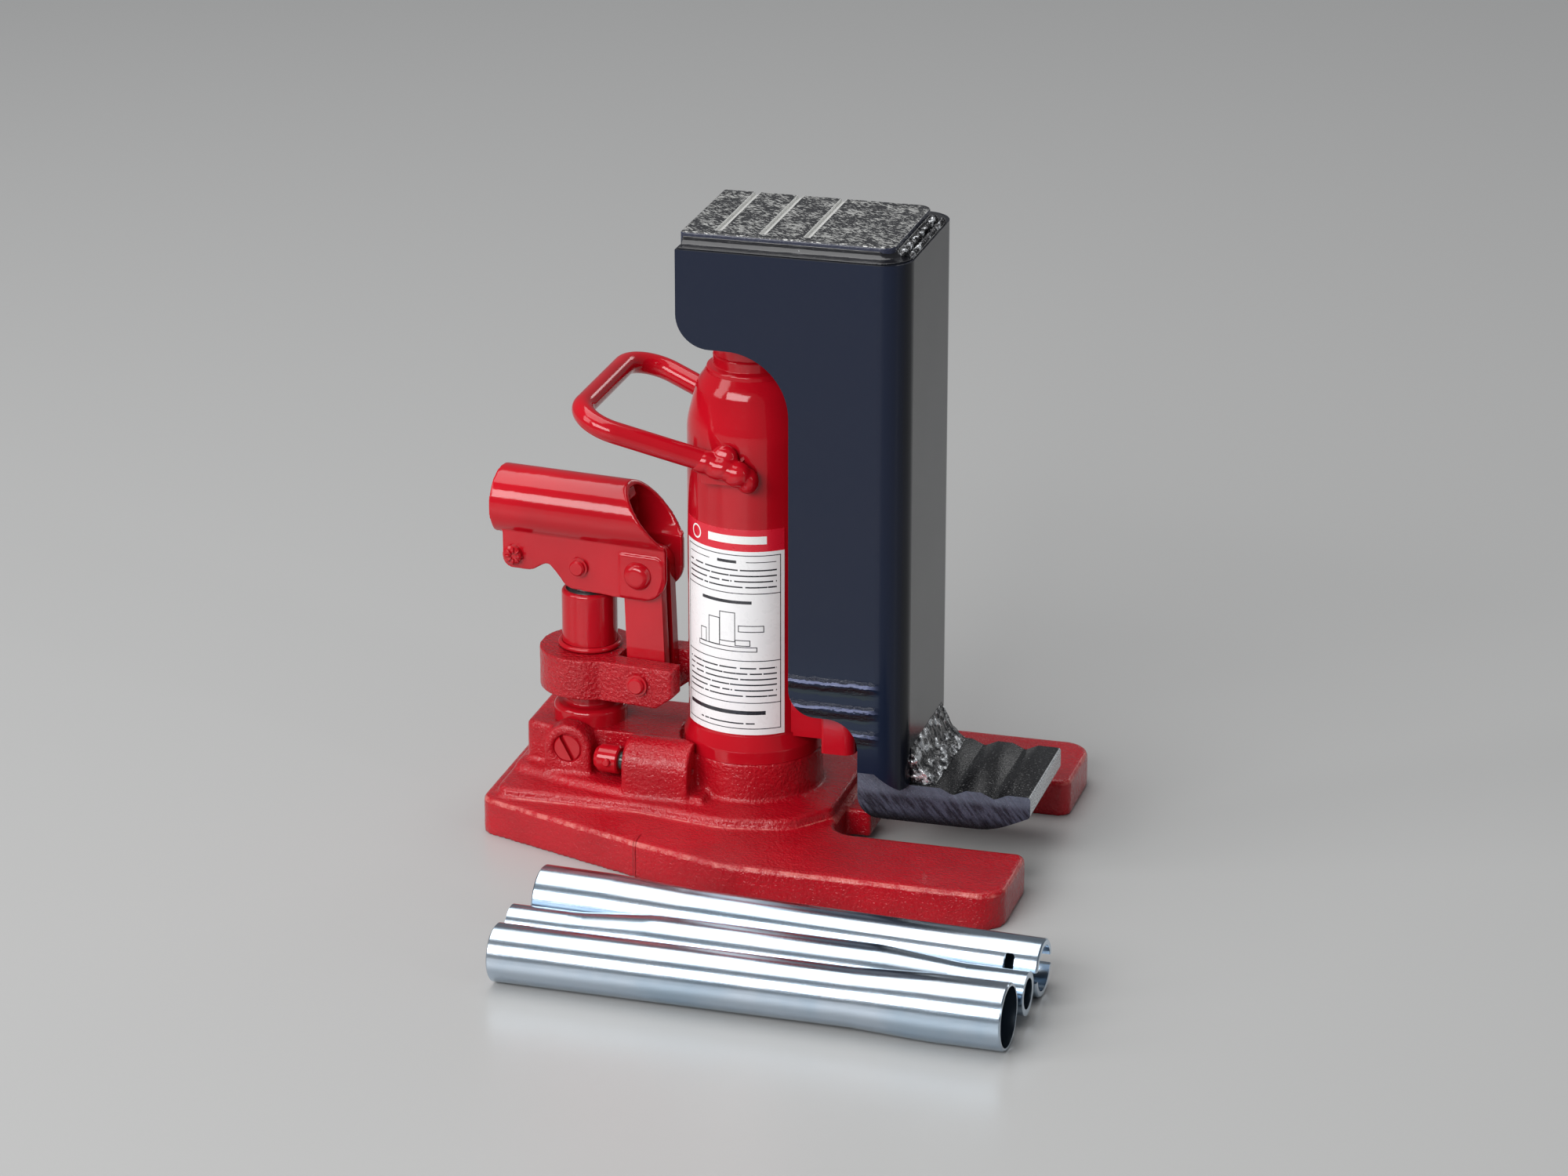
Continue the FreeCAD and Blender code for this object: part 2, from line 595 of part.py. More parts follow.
def cut_release_bore(body):
    """Cuts the release screw's slanting bore and the recess at its mouth, then its small passage inward."""
    mouth, outward, _ = release_frame()
    lead = 1.0
    start = mouth + outward * lead
    turn = FreeCAD.Rotation(FreeCAD.Vector(0, 1, 0), -S["release_turn"].value)
    steps = (
        (S["release_recess_r"], 2.5),
        (S["release_bore_r"], S["release_bore_deep"]),
        (S["release_passage_r"], 30),
    )
    for radius, deep in steps:
        sketch = sketch_on(body, "YZ_Plane")
        sketch.AttachmentOffset = FreeCAD.Placement(FreeCAD.Vector(0, 0, 0), turn)
        bind(sketch, "AttachmentOffset.Base.x", start.y)
        bind(sketch, "AttachmentOffset.Base.y", S["release_z"])
        bind(sketch, "AttachmentOffset.Base.z", start.x)
        draw_circle(sketch, 0, 0, radius)
        extrude(body, "Pocket", sketch, as_size(deep) + lead, reverse=True)


def release_frame():
    """Returns the release screw's mouth point and the rotation that turns +Z to point out of it."""
    angle = math.radians(180 - S["release_turn"].value)
    outward = FreeCAD.Vector(math.cos(angle), math.sin(angle), 0)
    turn = FreeCAD.Rotation(FreeCAD.Vector(0, 0, 1), outward)
    return FreeCAD.Vector(-S["release_x"].value, -S["release_y"].value, S["release_z"].value), outward, turn


def place_release(thing, out=0.0):
    """Puts a turned piece on the release screw's axis, out millimetres beyond the boss's face."""
    mouth, outward, turn = release_frame()
    place_at(thing, mouth + outward * out, turn)


def slotted_plug(label, radius, length, slot):
    """A round plug with a driver slot across its outer end, which is at +Z."""
    body = new_body(label)
    edge = 0.5
    spin(body, "Revolution", [
        (0, 0),
        (radius, 0),
        (radius, length - edge),
        (radius - edge, length),
        (0, length),
    ])
    half = as_size(slot) / 2
    pocket(body, "XY_Plane", rectangle(-radius - 1, radius + 1, -half, half), 1.8, length)
    return body


def helical_spring(label, radius, wire, length, turns):
    """A coil spring along its own +Z, swept along a helix."""
    spine = DOC.addObject("Part::Helix", "Helix_" + label)
    bind(spine, "Radius", radius)
    bind(spine, "Pitch", as_size(length) / turns)
    bind(spine, "Height", length)
    section = DOC.addObject("Part::Circle", "Section_" + label)
    bind(section, "Radius", wire)
    section.Placement = FreeCAD.Placement(FreeCAD.Vector(as_size(radius).value, 0, 0), ABOUT_X)
    sweep = DOC.addObject("Part::Sweep", "Spring_" + label)
    sweep.Sections = [section]
    sweep.Spine = (spine, ["Edge1"])
    sweep.Solid = True
    sweep.Frenet = True
    return keep(sweep, label)


def ball(label, radius, x, y, z):
    """A steel valve ball."""
    sphere = DOC.addObject("Part::Sphere", "Ball_" + label)
    bind(sphere, "Radius", radius)
    place(sphere, x, y, z)
    return keep(sphere, label)


def overload_valve():
    """The slotted plug on the near side, its spring and its ball."""
    inner = S["valve_face"] - S["valve_bore_deep"]
    plug = slotted_plug("valve_plug", S["valve_bore_r"], S["valve_plug_long"], S["plug_slot"])
    outward = FreeCAD.Rotation(FreeCAD.Vector(1, 0, 0), 90)
    outward = outward.multiply(FreeCAD.Rotation(FreeCAD.Vector(0, 0, 1), -62))
    place(plug, -S["valve_x"], -S["valve_face"] + S["valve_plug_long"] + 0.5, S["valve_z"], outward)
    spring = helical_spring("valve_spring", 2.6, 0.45, 4.6, 4)
    place(spring, -S["valve_x"], -inner - 2.9, S["valve_z"], ABOUT_X)
    ball("valve_ball", 1.9, -S["valve_x"], -inner - 1.95, S["valve_z"])


def passage_parts():
    """The plug that closes the drilled passage, and the suction and delivery balls."""
    plug = turned("passage_plug", rod_profile(S["oil_r"], 0, 5))
    place(plug, S["oil_boss_x"] - 5.4, 0, S["oil_z"], FreeCAD.Rotation(FreeCAD.Vector(0, 1, 0), 90))
    ball("suction_ball", 2.4, -S["pump_x"], 0, S["base_thick"] + 4.5)
    ball("delivery_ball", 2.6, 0, 0, 20.7)


def reservoir():
    """The reservoir with its flared foot and dome, its gland nut, wiper, foot gasket and filler plug."""
    foot = S["hub_top"]
    outer, inner = S["tank_r"], S["tank_r"] - S["tank_wall"]
    tank = turned("reservoir_tank", [
        (inner, foot),
        (S["tank_foot_r"], foot),
        (S["tank_foot_r"], foot + 4.6, 3),
        (outer, S["tank_foot_top"], 3),
        (outer, S["tank_shoulder"] + 8, 26),
        (20.0, 170.5, 9),
        (S["tube_r"] + 1.4, S["tank_top"]),
        (S["tube_r"], S["tank_top"]),
        (S["tube_r"], S["tank_top"] - 2.4),
        (18.0, 169.2, 6),
        (inner, S["tank_shoulder"] + 7, 22),
    ])
    filler_hole(tank)
    turned("tank_gasket", tube_profile(S["tube_r"] + 3.5, S["tube_r"], foot - 0.0, foot + 1.6))
    collar = S["nut_r"]
    turned("gland_nut", [
        (S["ram_r"] + 0.1, 162),
        (S["tube_bore_r"], 162),
        (S["tube_bore_r"], S["tube_top"]),
        (S["tube_r"], S["tube_top"]),
        (S["tube_r"], S["tank_top"]),
        (S["tube_r"] + 1.2, S["tank_top"]),
        (S["tube_r"] + 1.0, S["tank_top"] + 1.6, 0.8),
        (collar, S["tank_top"] + 2.2, 0.3),
        (collar, 180.6),
        (collar - 0.6, 181.1),
        (collar, 181.6),
        (collar, S["nut_top"] - 1),
        (collar - 1, S["nut_top"]),
        (S["ram_r"] + 2.4, S["nut_top"]),
        (S["ram_r"] + 2.4, S["nut_top"] - 3.4),
        (S["ram_r"] + 0.1, S["nut_top"] - 3.4),
    ])
    turned("ram_wiper", tube_profile(S["ram_r"] + 2.4, S["ram_r"] + S["slide_gap"], S["nut_top"] - 3.4,
                                     S["nut_top"] + 0.6))
    turned("pressure_cylinder", tube_profile(S["tube_r"], S["tube_bore_r"], S["tube_seat"], S["tube_top"]))
    turn = FreeCAD.Rotation(FreeCAD.Vector(0, 0, 1), S["filler_angle"].value)
    outward = turn.multVec(FreeCAD.Vector(1, 0, 0))
    reach = S["tank_r"].value - 2.2
    stem = S["filler_r"]
    plug = turned("filler_plug", [
        (0, -1.6), (stem, -1.6), (stem, 2.9), (stem + 2, 2.9), (stem + 2, 4.4, 0.8), (0, 4.4)])
    place_at(plug, outward * reach + FreeCAD.Vector(0, 0, S["filler_z"].value),
             FreeCAD.Rotation(FreeCAD.Vector(0, 0, 1), outward))


def filler_hole(body):
    """Cuts the filler hole, square to the reservoir's wall, at the back of the pump side."""
    sketch = sketch_on(body, "YZ_Plane")
    turn = FreeCAD.Rotation(FreeCAD.Vector(0, 1, 0), S["filler_angle"].value)
    sketch.AttachmentOffset = FreeCAD.Placement(FreeCAD.Vector(0, S["filler_z"].value, 0), turn)
    draw_circle(sketch, 0, 0, S["filler_r"])
    extrude(body, "Pocket", sketch, 40, reverse=True)


def label_wrap():
    """The paper-thin label wrapped round the reservoir."""
    body = new_body("label")
    sketch = sketch_on(body, "XZ_Plane")
    skin = S["tank_r"] + S["label_thick"]
    draw_outline(sketch, tube_profile(skin, S["tank_r"], S["label_foot"], S["label_top"]))
    wrap = body.newObject("PartDesign::Revolution", "Wrap")
    wrap.Profile = sketch
    wrap.ReferenceAxis = (sketch, ["V_Axis"])
    bind(wrap, "Angle", S["label_sweep"])
    body.Placement = FreeCAD.Placement(FreeCAD.Vector(0, 0, 0),
                                       FreeCAD.Rotation(FreeCAD.Vector(0, 0, 1), S["label_start"].value))


def guide_rail():
    """The red channel that steers the column, held off the reservoir by two ribs."""
    body = new_body("guide_rail")
    lip = S["guide_half"] - S["guide_thick"]
    back = S["guide_face"] - S["guide_thick"]
    shape = mirrored([
        (S["guide_face"], -S["guide_half"], 4),
        (S["guide_lip"], -S["guide_half"], 1),
        (S["guide_lip"], -lip, 1),
        (back, -lip, 2),
        (back, -S["rib_out"], 2),
        (S["rib_start"], -S["rib_out"]),
        (S["rib_start"], -S["rib_in"]),
        (back, -S["rib_in"], 2),
    ])
    pad(body, "XY_Plane", shape, S["guide_top"] - S["guide_foot"], S["guide_foot"])
    bore(body, "XY_Plane", 0, 0, S["tank_r"] + 0.02, 200, 0, reverse=True)
    # The reservoir's foot flares out a little under the guide's own foot.
    bore(body, "XY_Plane", 0, 0, S["tank_r"] + 0.6, 1.4, S["guide_foot"], reverse=True)
    return body


def carry_handle():
    """The bent bar that the jack is carried by, and the two pads that join it to the reservoir."""
    body = new_body("carry_handle")
    path = sketch_on(body, "XY_Plane")
    gap = S["grip_start_y"] * 2
    draw_outline(path, [
        (0, 0),
        (S["grip_straight"], 0, 18),
        (S["grip_reach"], S["grip_splay"], S["grip_bend"]),
        (S["grip_reach"], -gap - S["grip_splay"], S["grip_bend"]),
        (S["grip_straight"], -gap, 18),
        (0, -gap),
    ], closed=False)
    section = sketch_on(body, "YZ_Plane")
    draw_circle(section, 0, 0, S["grip_r"])
    bar = body.newObject("PartDesign::AdditivePipe", "Bar")
    bar.Profile = section
    bar.Spine = (path, ["Edge%d" % (i + 1) for i in range(9)])
    tilt = math.radians(S["grip_tilt"].value)
    along = FreeCAD.Vector(-math.cos(tilt), 0, math.sin(tilt))
    turn = FreeCAD.Rotation(along, FreeCAD.Vector(0, -1, 0), FreeCAD.Vector(), "XYZ")
    place(body, S["grip_start_x"], -S["grip_start_y"], S["grip_start_z"], turn)
    for label, side in (("handle_pad_near", -1), ("handle_pad_far", 1)):
        handle_pad(label, side, body)


def handle_pad(label, side, bar):
    """A weld pad between the carry handle's end and the reservoir, cut to the bar."""
    block = DOC.addObject("PartDesign::Body", "Block_" + label)
    low, high = sorted((S["grip_start_y"].value * side - side * 0.4, side * 12))
    pad(block, "XY_Plane", rectangle(-13, 3.5, low, high, 2), 9, S["grip_start_z"] - 4.4)
    bore(block, "XY_Plane", 0, 0, S["tank_r"], 200, 0, reverse=True)
    cut = DOC.addObject("Part::Cut", "Cut_" + label)
    cut.Base = block
    cut.Tool = bar
    return keep(cut, label)


# ---- lifting group --------------------------------------------------------------------------------

def ram_parts():
    """The ram, its piston, its cup seal and the ring behind it."""
    bore_fit = S["tube_bore_r"] - S["slide_gap"]
    turned("ram", rod_profile(S["ram_r"], 40, S["ram_top"], 1.0))
    turned("ram_piston", [
        (0, 30), (bore_fit - 3, 30), (bore_fit - 3, 34), (bore_fit, 34), (bore_fit, 40), (0, 40)])
    turned("ram_seal", tube_profile(bore_fit, bore_fit - 3, 30.8, 34))
    turned("ram_stop_ring", tube_profile(bore_fit, S["ram_r"], 40, 44))


def lift_column():
    """The bent plate channel that carries the head plate and the toe."""
    body = new_body("lift_column")
    half, wall, bend = S["column_half"], S["column_wall"], S["column_bend"]
    inner_bend = bend - wall
    channel = [
        (-S["flag_x"], -half),
        (S["column_out"], -half, bend),
        (S["column_out"], half, bend),
        (-S["flag_x"], half),
        (-S["flag_x"], half - wall),
        (S["column_out"] - wall, half - wall, inner_bend),
        (S["column_out"] - wall, -half + wall, inner_bend),
        (-S["flag_x"], -half + wall),
    ]
    pad(body, "XY_Plane", channel, S["column_top"] - S["column_foot"], S["column_foot"])
    beyond = -S["flag_x"] - 5
    below = S["column_foot"] - 5
    waste = [
        (beyond, S["flag_foot"] + 12.3),
        (-S["flag_x"], S["flag_foot"] + 12.3),
        (-S["flag_x"], S["flag_foot"], 12.2),
        (S["cheek_x"], S["flag_foot"], 22.9),
        (S["cheek_x"], S["cheek_step_z"], 9.8),
        (S["cheek_step_x"], S["cheek_step_z"], 11.3),
        (S["cheek_step_x"], S["cheek_foot"]),
        (S["column_out"] - S["column_bend"], S["cheek_foot"]),
        (S["column_out"] - 2, S["column_foot"]),
        (S["column_out"] - 2, below),
        (beyond, below),
    ]
    # Only the cheeks and the flag are trimmed, so the web keeps its full length.
    cheek_cut = S["column_half"] * 2 + 4
    pocket(body, "XZ_Plane", waste, cheek_cut, both_ways=True)
    return body


def head_plate():
    """The thick head plate between the column's cheeks, grooved on top and bored for the ram."""
    body = new_body("head_plate")
    foot = S["jack_height"] - S["head_thick"]
    corner = S["column_bend"] - S["column_wall"] + 0.3
    plate = mirrored([
        (S["head_front"], -S["head_half"], corner),
        (-S["head_rear"], -S["head_half"], 1.5),
    ])
    solid = pad(body, "XY_Plane", plate, S["head_thick"], foot)
    round_edges(body, solid, 0.9, lambda e: lies_at_height(e, S["jack_height"].value))
    for i in range(3):
        middle = S["head_groove_step"] * i - S["head_groove_x"] + 0.2
        half = S["head_groove_wide"] / 2
        groove = rectangle(middle - half, middle + half, -S["head_groove_end"], S["head_half"] + 2)
        pocket(body, "XY_Plane", groove, S["head_groove_deep"], S["jack_height"])
    bore(body, "XY_Plane", 0, 0, S["ram_r"], S["ram_top"] - foot + 0.1, foot, reverse=True)
    return body


def toe():
    """The lifting toe: a thick bent bar with two grooves across its top and its limb behind the web."""
    body = new_body("toe")
    limb_front = S["column_out"] - S["column_wall"]
    profile = [
        (S["toe_rear"], S["toe_under"], S["toe_heel_round"]),
        (96, S["toe_under"], 30),
        (S["toe_tip"], S["toe_under"] + 6.4, 2),
        (S["toe_tip"], S["toe_top"], 1.2),
        (S["groove_second"] + S["groove_wide"], S["toe_top"]),
        (S["groove_second"] + S["groove_wide"] * 0.5, S["toe_top"] - S["groove_deep"], 2),
        (S["groove_second"], S["toe_top"]),
        (S["groove_first"] + S["groove_wide"], S["toe_top"]),
        (S["groove_first"] + S["groove_wide"] * 0.5, S["toe_top"] - S["groove_deep"], 2),
        (S["groove_first"], S["toe_top"]),
        (limb_front, S["toe_top"]),
        (limb_front, S["toe_limb_top"]),
        (S["toe_rear"], S["toe_limb_top"], 3),
    ]
    pad(body, "XZ_Plane", profile, S["toe_half"] * 2, both_ways=True)
    return body


def wedge_weld(label, corners, length, role, lift, both_ways=True):
    """A fillet weld of the given cross-section."""
    body = new_body(label)
    pad(body, role, corners, length, lift, both_ways=both_ways)
    return body


def welds():
    """The weld beads that hold the toe to the web and the head plate to the column."""
    out, top = S["column_out"], S["toe_top"]
    wedge_weld("toe_weld", [(out, top), (out + 9.5, top), (out + 4, top + 5.5, 5), (out, top + 14)],
               S["toe_half"] * 2 - 3, "XZ_Plane", 0)
    cheek = S["column_half"] - S["column_wall"]
    edge = S["column_top"]
    for label, side in (("head_weld_near", -1), ("head_weld_far", 1)):
        bead = [
            (S["head_half"] * side, edge),
            (S["column_half"] * side - 1.2 * side, edge),
            (S["head_half"] * side, edge + 3.2),
        ]
        wedge_weld(label, bead, S["head_rear"] + S["column_out"] - 14, "YZ_Plane", -S["head_rear"] + 1,
                   both_ways=False)
    wedge_weld("head_weld_front", [(S["head_front"], edge), (out - 1.2, edge), (S["head_front"], edge + 3.2)],
               cheek * 2 - 8, "XZ_Plane", 0)


# ---- pump -----------------------------------------------------------------------------------------

def pump_cylinder():
    """The pump cylinder on the deck, its snap ring and its packing."""
    foot = S["deck_top"]
    top = S["pump_top"]
    cylinder = turned("pump_cylinder", [
        (4, foot),
        (S["pump_flange_r"], foot),
        (S["pump_flange_r"], S["pump_flange_top"], 2),
        (S["pump_neck_r"], S["pump_flange_top"], 1.2),
        (S["pump_neck_r"], S["collar_foot"] - 1.4),
        (S["pump_r"], S["collar_foot"] - 0.4),
        (S["pump_r"], S["snap_z"] - 1.0),
        (S["pump_r"] - 0.5, S["snap_z"] - 0.5),
        (S["pump_r"] - 0.5, S["snap_z"] + 0.5),
        (S["pump_r"], S["snap_z"] + 1.0),
        (S["pump_r"], top, 1.4),
        (S["packing_r"], top),
        (S["packing_r"], top - S["packing_long"]),
        (S["pump_bore_r"] + S["slide_gap"], top - S["packing_long"]),
        (S["pump_bore_r"] + S["slide_gap"], foot + 6),
        (4, foot + 3),
    ])
    place(cylinder, -S["pump_x"])
    packing = turned("pump_packing", tube_profile(S["packing_r"], S["pump_bore_r"] + S["slide_gap"],
                                                  top - S["packing_long"], top - 0.6))
    place(packing, -S["pump_x"])
    ring = new_body("snap_ring")
    sketch = sketch_on(ring, "XZ_Plane")
    draw_circle(sketch, S["pump_r"] + 0.55, S["snap_z"], S["snap_wire"])
    wire = ring.newObject("PartDesign::Revolution", "Wire")
    wire.Profile = sketch
    wire.ReferenceAxis = (sketch, ["V_Axis"])
    wire.Angle = 342
    place(ring, -S["pump_x"], 0, 0, FreeCAD.Rotation(FreeCAD.Vector(0, 0, 1), 150))


def link_bracket():
    """The cast collar that turns on the pump cylinder, with two ears for the links."""
    body = new_body("link_bracket")
    high = S["collar_top"] - S["collar_foot"]
    boss(body, "XY_Plane", 0, 0, S["collar_r"], high, S["collar_foot"])
    for side, reach in ((-1, S["near_ear"]), (1, S["far_ear"])):
        low, top = sorted((side * S["ear_in"].value, side * S["ear_out"].value))
        ear = [(6, low), (reach, low, 1.5), (reach, top, 1.5), (6, top)]
        pad(body, "XY_Plane", ear, high, S["collar_foot"])
    bore(body, "XY_Plane", 0, 0, S["pump_r"] + S["slide_gap"], 60, S["collar_foot"] - 1, reverse=True)
    slot = rectangle(S["pump_r"] + 4, S["near_ear"] + 5, -S["ear_in"], S["ear_in"])
    pocket(body, "XY_Plane", slot, 60, S["collar_foot"] - 1, reverse=True)
    cut = S["ear_chamfer"]
    low_corner = [
        (S["far_ear"] - cut, S["collar_foot"] - 1),
        (S["near_ear"] + 3, S["collar_foot"] - 1),
        (S["near_ear"] + 3, S["collar_foot"] + cut),
        (S["near_ear"], S["collar_foot"] + cut - 1),
    ]
    pocket(body, "XZ_Plane", low_corner, 60, both_ways=True)
    bore(body, "XZ_Plane", S["ear_pin_u"], S["ear_pin_z"], S["ear_pin_r"], 60, both_ways=True)
    place_on_head(body)
    turned_pin("ear_pin", S["ear_pin_r"], S["ear_out"], 4.0, 3.1, S["ear_pin_u"], S["ear_pin_z"])


def turned_pin(label, shank, half, collar, head, u, z):
    """A headed pin along the head's cross axis, with a collar and a small domed head at each end."""
    body = turned(label, [
        (0, -half - 2.6),
        (head - 0.6, -half - 2.6),
        (head, -half - 2.0),
        (head, -half - 1.2),
        (collar, -half - 1.2),
        (collar, -half),
        (shank, -half),
        (shank, half),
        (collar, half),
        (collar, half + 1.2),
        (head, half + 1.2),
        (head, half + 2.0),
        (head - 0.6, half + 2.6),
        (0, half + 2.6),
    ])
    place_head_pin(body, u, z)
    return body


def links():
    """The pair of flat links between the ears and the handle socket."""
    for label, side in (("link_near", -1), ("link_far", 1)):
        body = new_body(label)
        near = S["link_gap"].value / 2 * side
        half = S["link_half"]
        top = S["pivot_z"] + half
        foot = S["ear_pin_z"] - half
        shape = [
            (S["ear_pin_u"] - half, foot, 6.5),
            (S["ear_pin_u"] + half, foot, 6.5),
            (S["rivet_u"] + half, top, 6.5),
            (S["rivet_u"] - half, top, 6.5),
        ]
        pad(body, "XZ_Plane", shape, S["link_thick"], as_size(near) * -1, reverse=side > 0)
        bore(body, "XZ_Plane", S["ear_pin_u"], S["ear_pin_z"], S["ear_pin_r"] + S["slide_gap"], 40,
             both_ways=True)
        bore(body, "XZ_Plane", S["rivet_u"], S["pivot_z"], S["rivet_r"] + S["rivet_slack"], 40,
             both_ways=True)
        place_on_head(body)


def pump_plunger():
    """The plunger, cross-bored near its top for the plunger pin."""
    body = new_body("pump_plunger")
    spin(body, "Revolution", [
        (0, S["plunger_foot"]),
        (S["pump_bore_r"] - 0.6, S["plunger_foot"]),
        (S["pump_bore_r"], S["plunger_foot"] + 0.6),
        (S["pump_bore_r"], S["plunger_top"] - 1),
        (S["pump_bore_r"] - 1, S["plunger_top"]),
        (0, S["plunger_top"]),
    ])
    bore(body, "XZ_Plane", 0, S["pivot_z"], S["pivot_pin_r"] + S["slide_gap"], 40, both_ways=True)
    place_on_head(body)


def handle_socket():
    """The socket that takes the handle: a tube with a slanting end over two riveted cheeks."""
    body = new_body("handle_socket")
    boss(body, "YZ_Plane", 0, S["socket_z"], S["socket_r"], S["socket_rear"] + S["socket_cut_end"] + 1.2,
         -S["socket_rear"])
    cheek = [
        (-30.4, 92.2, 4),
        (-19, 92.2, 6),
        (-12.2, 96.4, 3),
        (-4.6, 87.2, 5),
        (14, 86.4, 30),
        (34, 86.4, 9),
        (34, 108, 6),
        (26, 114),
        (-30.4, 114),
    ]
    pad(body, "XZ_Plane", cheek, S["cheek_out"] * 2, both_ways=True)
    joggled = [
        (S["joggle_u"], 87.4),
        (30.5, 87.4, 5),
        (33.2, 95, 8),
        (33.2, 103.5, 3),
        (S["joggle_u"], 103.5),
    ]
    pad(body, "XZ_Plane", joggled, S["joggle_out"] * 2, both_ways=True)
    gap = rectangle(-S["socket_rear"] - 5, 50, 70, S["socket_z"] - 4)
    pocket(body, "XZ_Plane", gap, S["cheek_in"] * 2, both_ways=True)
    bore(body, "YZ_Plane", 0, S["socket_z"], S["socket_bore_r"], 120, -S["socket_rear"] - 5, reverse=True)
    slant = [
        (S["socket_cut_u"], S["socket_z"] + 20),
        (S["socket_cut_u"], S["socket_z"] + S["socket_r"]),
        (S["socket_cut_end"], S["socket_cut_z"]),
        (S["socket_cut_end"] + 3, S["socket_cut_z"] - 1),
        (60, S["socket_cut_z"] - 1),
        (60, S["socket_z"] + 20),
    ]
    pocket(body, "XZ_Plane", slant, 80, both_ways=True)
    bore(body, "YZ_Plane", 0, S["socket_z"], S["socket_bore_r"] + 0.4, 60, S["socket_seat"], reverse=True)
    stop_tab = [
        (S["socket_cut_u"] - 2.4, S["socket_z"] + S["socket_bore_r"] + 1),
        (S["socket_cut_u"], S["socket_z"] + S["socket_bore_r"] + 1),
        (S["socket_cut_u"] + 1.8, S["socket_z"] + S["socket_bore_r"] - 4.4, 0.8),
        (S["socket_cut_u"] - 0.6, S["socket_z"] + S["socket_bore_r"] - 4.4, 0.8),
    ]
    pad(body, "XZ_Plane", stop_tab, 6.4, both_ways=True)
    bore(body, "XZ_Plane", 0, S["pivot_z"], S["pivot_pin_r"], 60, both_ways=True)
    bore(body, "XZ_Plane", S["rivet_u"], S["pivot_z"], S["rivet_r"], 60, both_ways=True)
    bore(body, "XZ_Plane", -S["clamp_u"], S["clamp_z"], S["clamp_r"], 60, both_ways=True)
    place_on_head(body)


def socket_fasteners():
    """The plunger pin, the fulcrum rivet, and the clamp bolt with its nut."""
    turned_pin("plunger_pin", S["pivot_pin_r"], S["cheek_out"], 3.7, 2.9, 0, S["pivot_z"])
    head, high, half = S["rivet_head_r"], S["rivet_head_high"], S["joggle_out"]
    rivet = turned("fulcrum_rivet", [
        (0, -half - high),
        (head * 0.75, -half - high, 3),
        (head, -half - 0.3),
        (head, -half),
        (S["rivet_r"], -half),
        (S["rivet_r"], half),
        (head, half),
        (head, half + 0.3),
        (head * 0.75, half + high, 3),
        (0, half + high),
    ])
    place_head_pin(rivet, S["rivet_u"], S["pivot_z"])
    out = S["cheek_out"]
    bolt = turned("clamp_bolt", [
        (0, -out - 5),
        (S["clamp_r"], -out - 5),
        (S["clamp_r"], out),
        (3.6, out),
        (3.6, out + 1.6),
        (2.8, out + 2.2),
        (0, out + 2.2),
    ])
    place_head_pin(bolt, -S["clamp_u"], S["clamp_z"])
    nut = new_body("clamp_nut")
    hexagon = [(4.6 * math.cos(math.radians(60 * i)), 4.6 * math.sin(math.radians(60 * i))) for i in range(6)]
    pad(nut, "XY_Plane", hexagon, 4, -out - 4)
    bore(nut, "XY_Plane", 0, 0, S["clamp_r"], 30, -out - 8, reverse=True)
    place_head_pin(nut, -S["clamp_u"], S["clamp_z"])


# ---- release screw --------------------------------------------------------------------------------

def release_screw():
    """The release screw with its neck, head and cross pin, its O-ring and its valve ball."""
    fit = S["release_bore_r"] - S["slide_gap"]
    deep = S["release_bore_deep"]
    neck, head = S["release_neck_r"], S["release_head_r"]
    cross_r, cross_out = S["release_cross_r"], S["release_cross_out"]
    screw = new_body("release_screw")
    spin(screw, "Revolution", [
        (0, -deep + 4),
        (1.2, -deep + 4),
        (2.4, -deep + 5.4),
        (fit - 0.9, -deep + 5.4),
        (fit - 0.9, -deep + 7.6),
        (fit, -deep + 7.6),
        (fit, -2.6),
        (neck, -2.6),
        (neck, 2.8),
        (head - 0.6, 2.8),
        (head, 3.4),
        (head, 10.4),
        (3.9, 12.2),
        (0, 12.2),
    ])
    bore(screw, "XZ_Plane", 0, cross_out, cross_r, 40, both_ways=True)
    place_release(screw)
    pin = turned("release_cross_pin", rod_profile(cross_r, -cross_out, cross_out))
    mouth, outward, turn = release_frame()
    place_at(pin, mouth + outward * cross_out.value, turn.multiply(ABOUT_X))
    ring = turned("release_o_ring", tube_profile(fit, fit - 0.9, -deep + 5.6, -deep + 7.4))
    place_release(ring)
    seat = mouth - outward * (deep.value - 2.4)
    ball("release_ball", 1.55, seat.x, seat.y, seat.z)


# ---- handle tubes ---------------------------------------------------------------------------------

def handle_tubes():
    """The three tubes of the pump handle, lying on the ground in front of the jack."""
    low, high = S["bar_r"].value, S["bar_flare_r"].value
    front = bar_with_flare("handle_front")
    lay_bar(front, FreeCAD.Vector(-46.7, -156.2, low), FreeCAD.Vector(134.7, -161.6, high))
    middle = bar_with_necks("handle_middle")
    lay_bar(middle, FreeCAD.Vector(-48.4, -134.2, low), FreeCAD.Vector(136.0, -139.3, low))
    rear = bar_with_flare("handle_rear")
    hook_slot(rear)
    lay_bar(rear, FreeCAD.Vector(136.7, -118.0, low), FreeCAD.Vector(-44.8, -111.6, high))


def lay_bar(body, start, end):
    """Lays a tube drawn along its own Z on the ground, from its start towards its end."""
    place_at(body, start, FreeCAD.Rotation(FreeCAD.Vector(0, 0, 1), end - start))


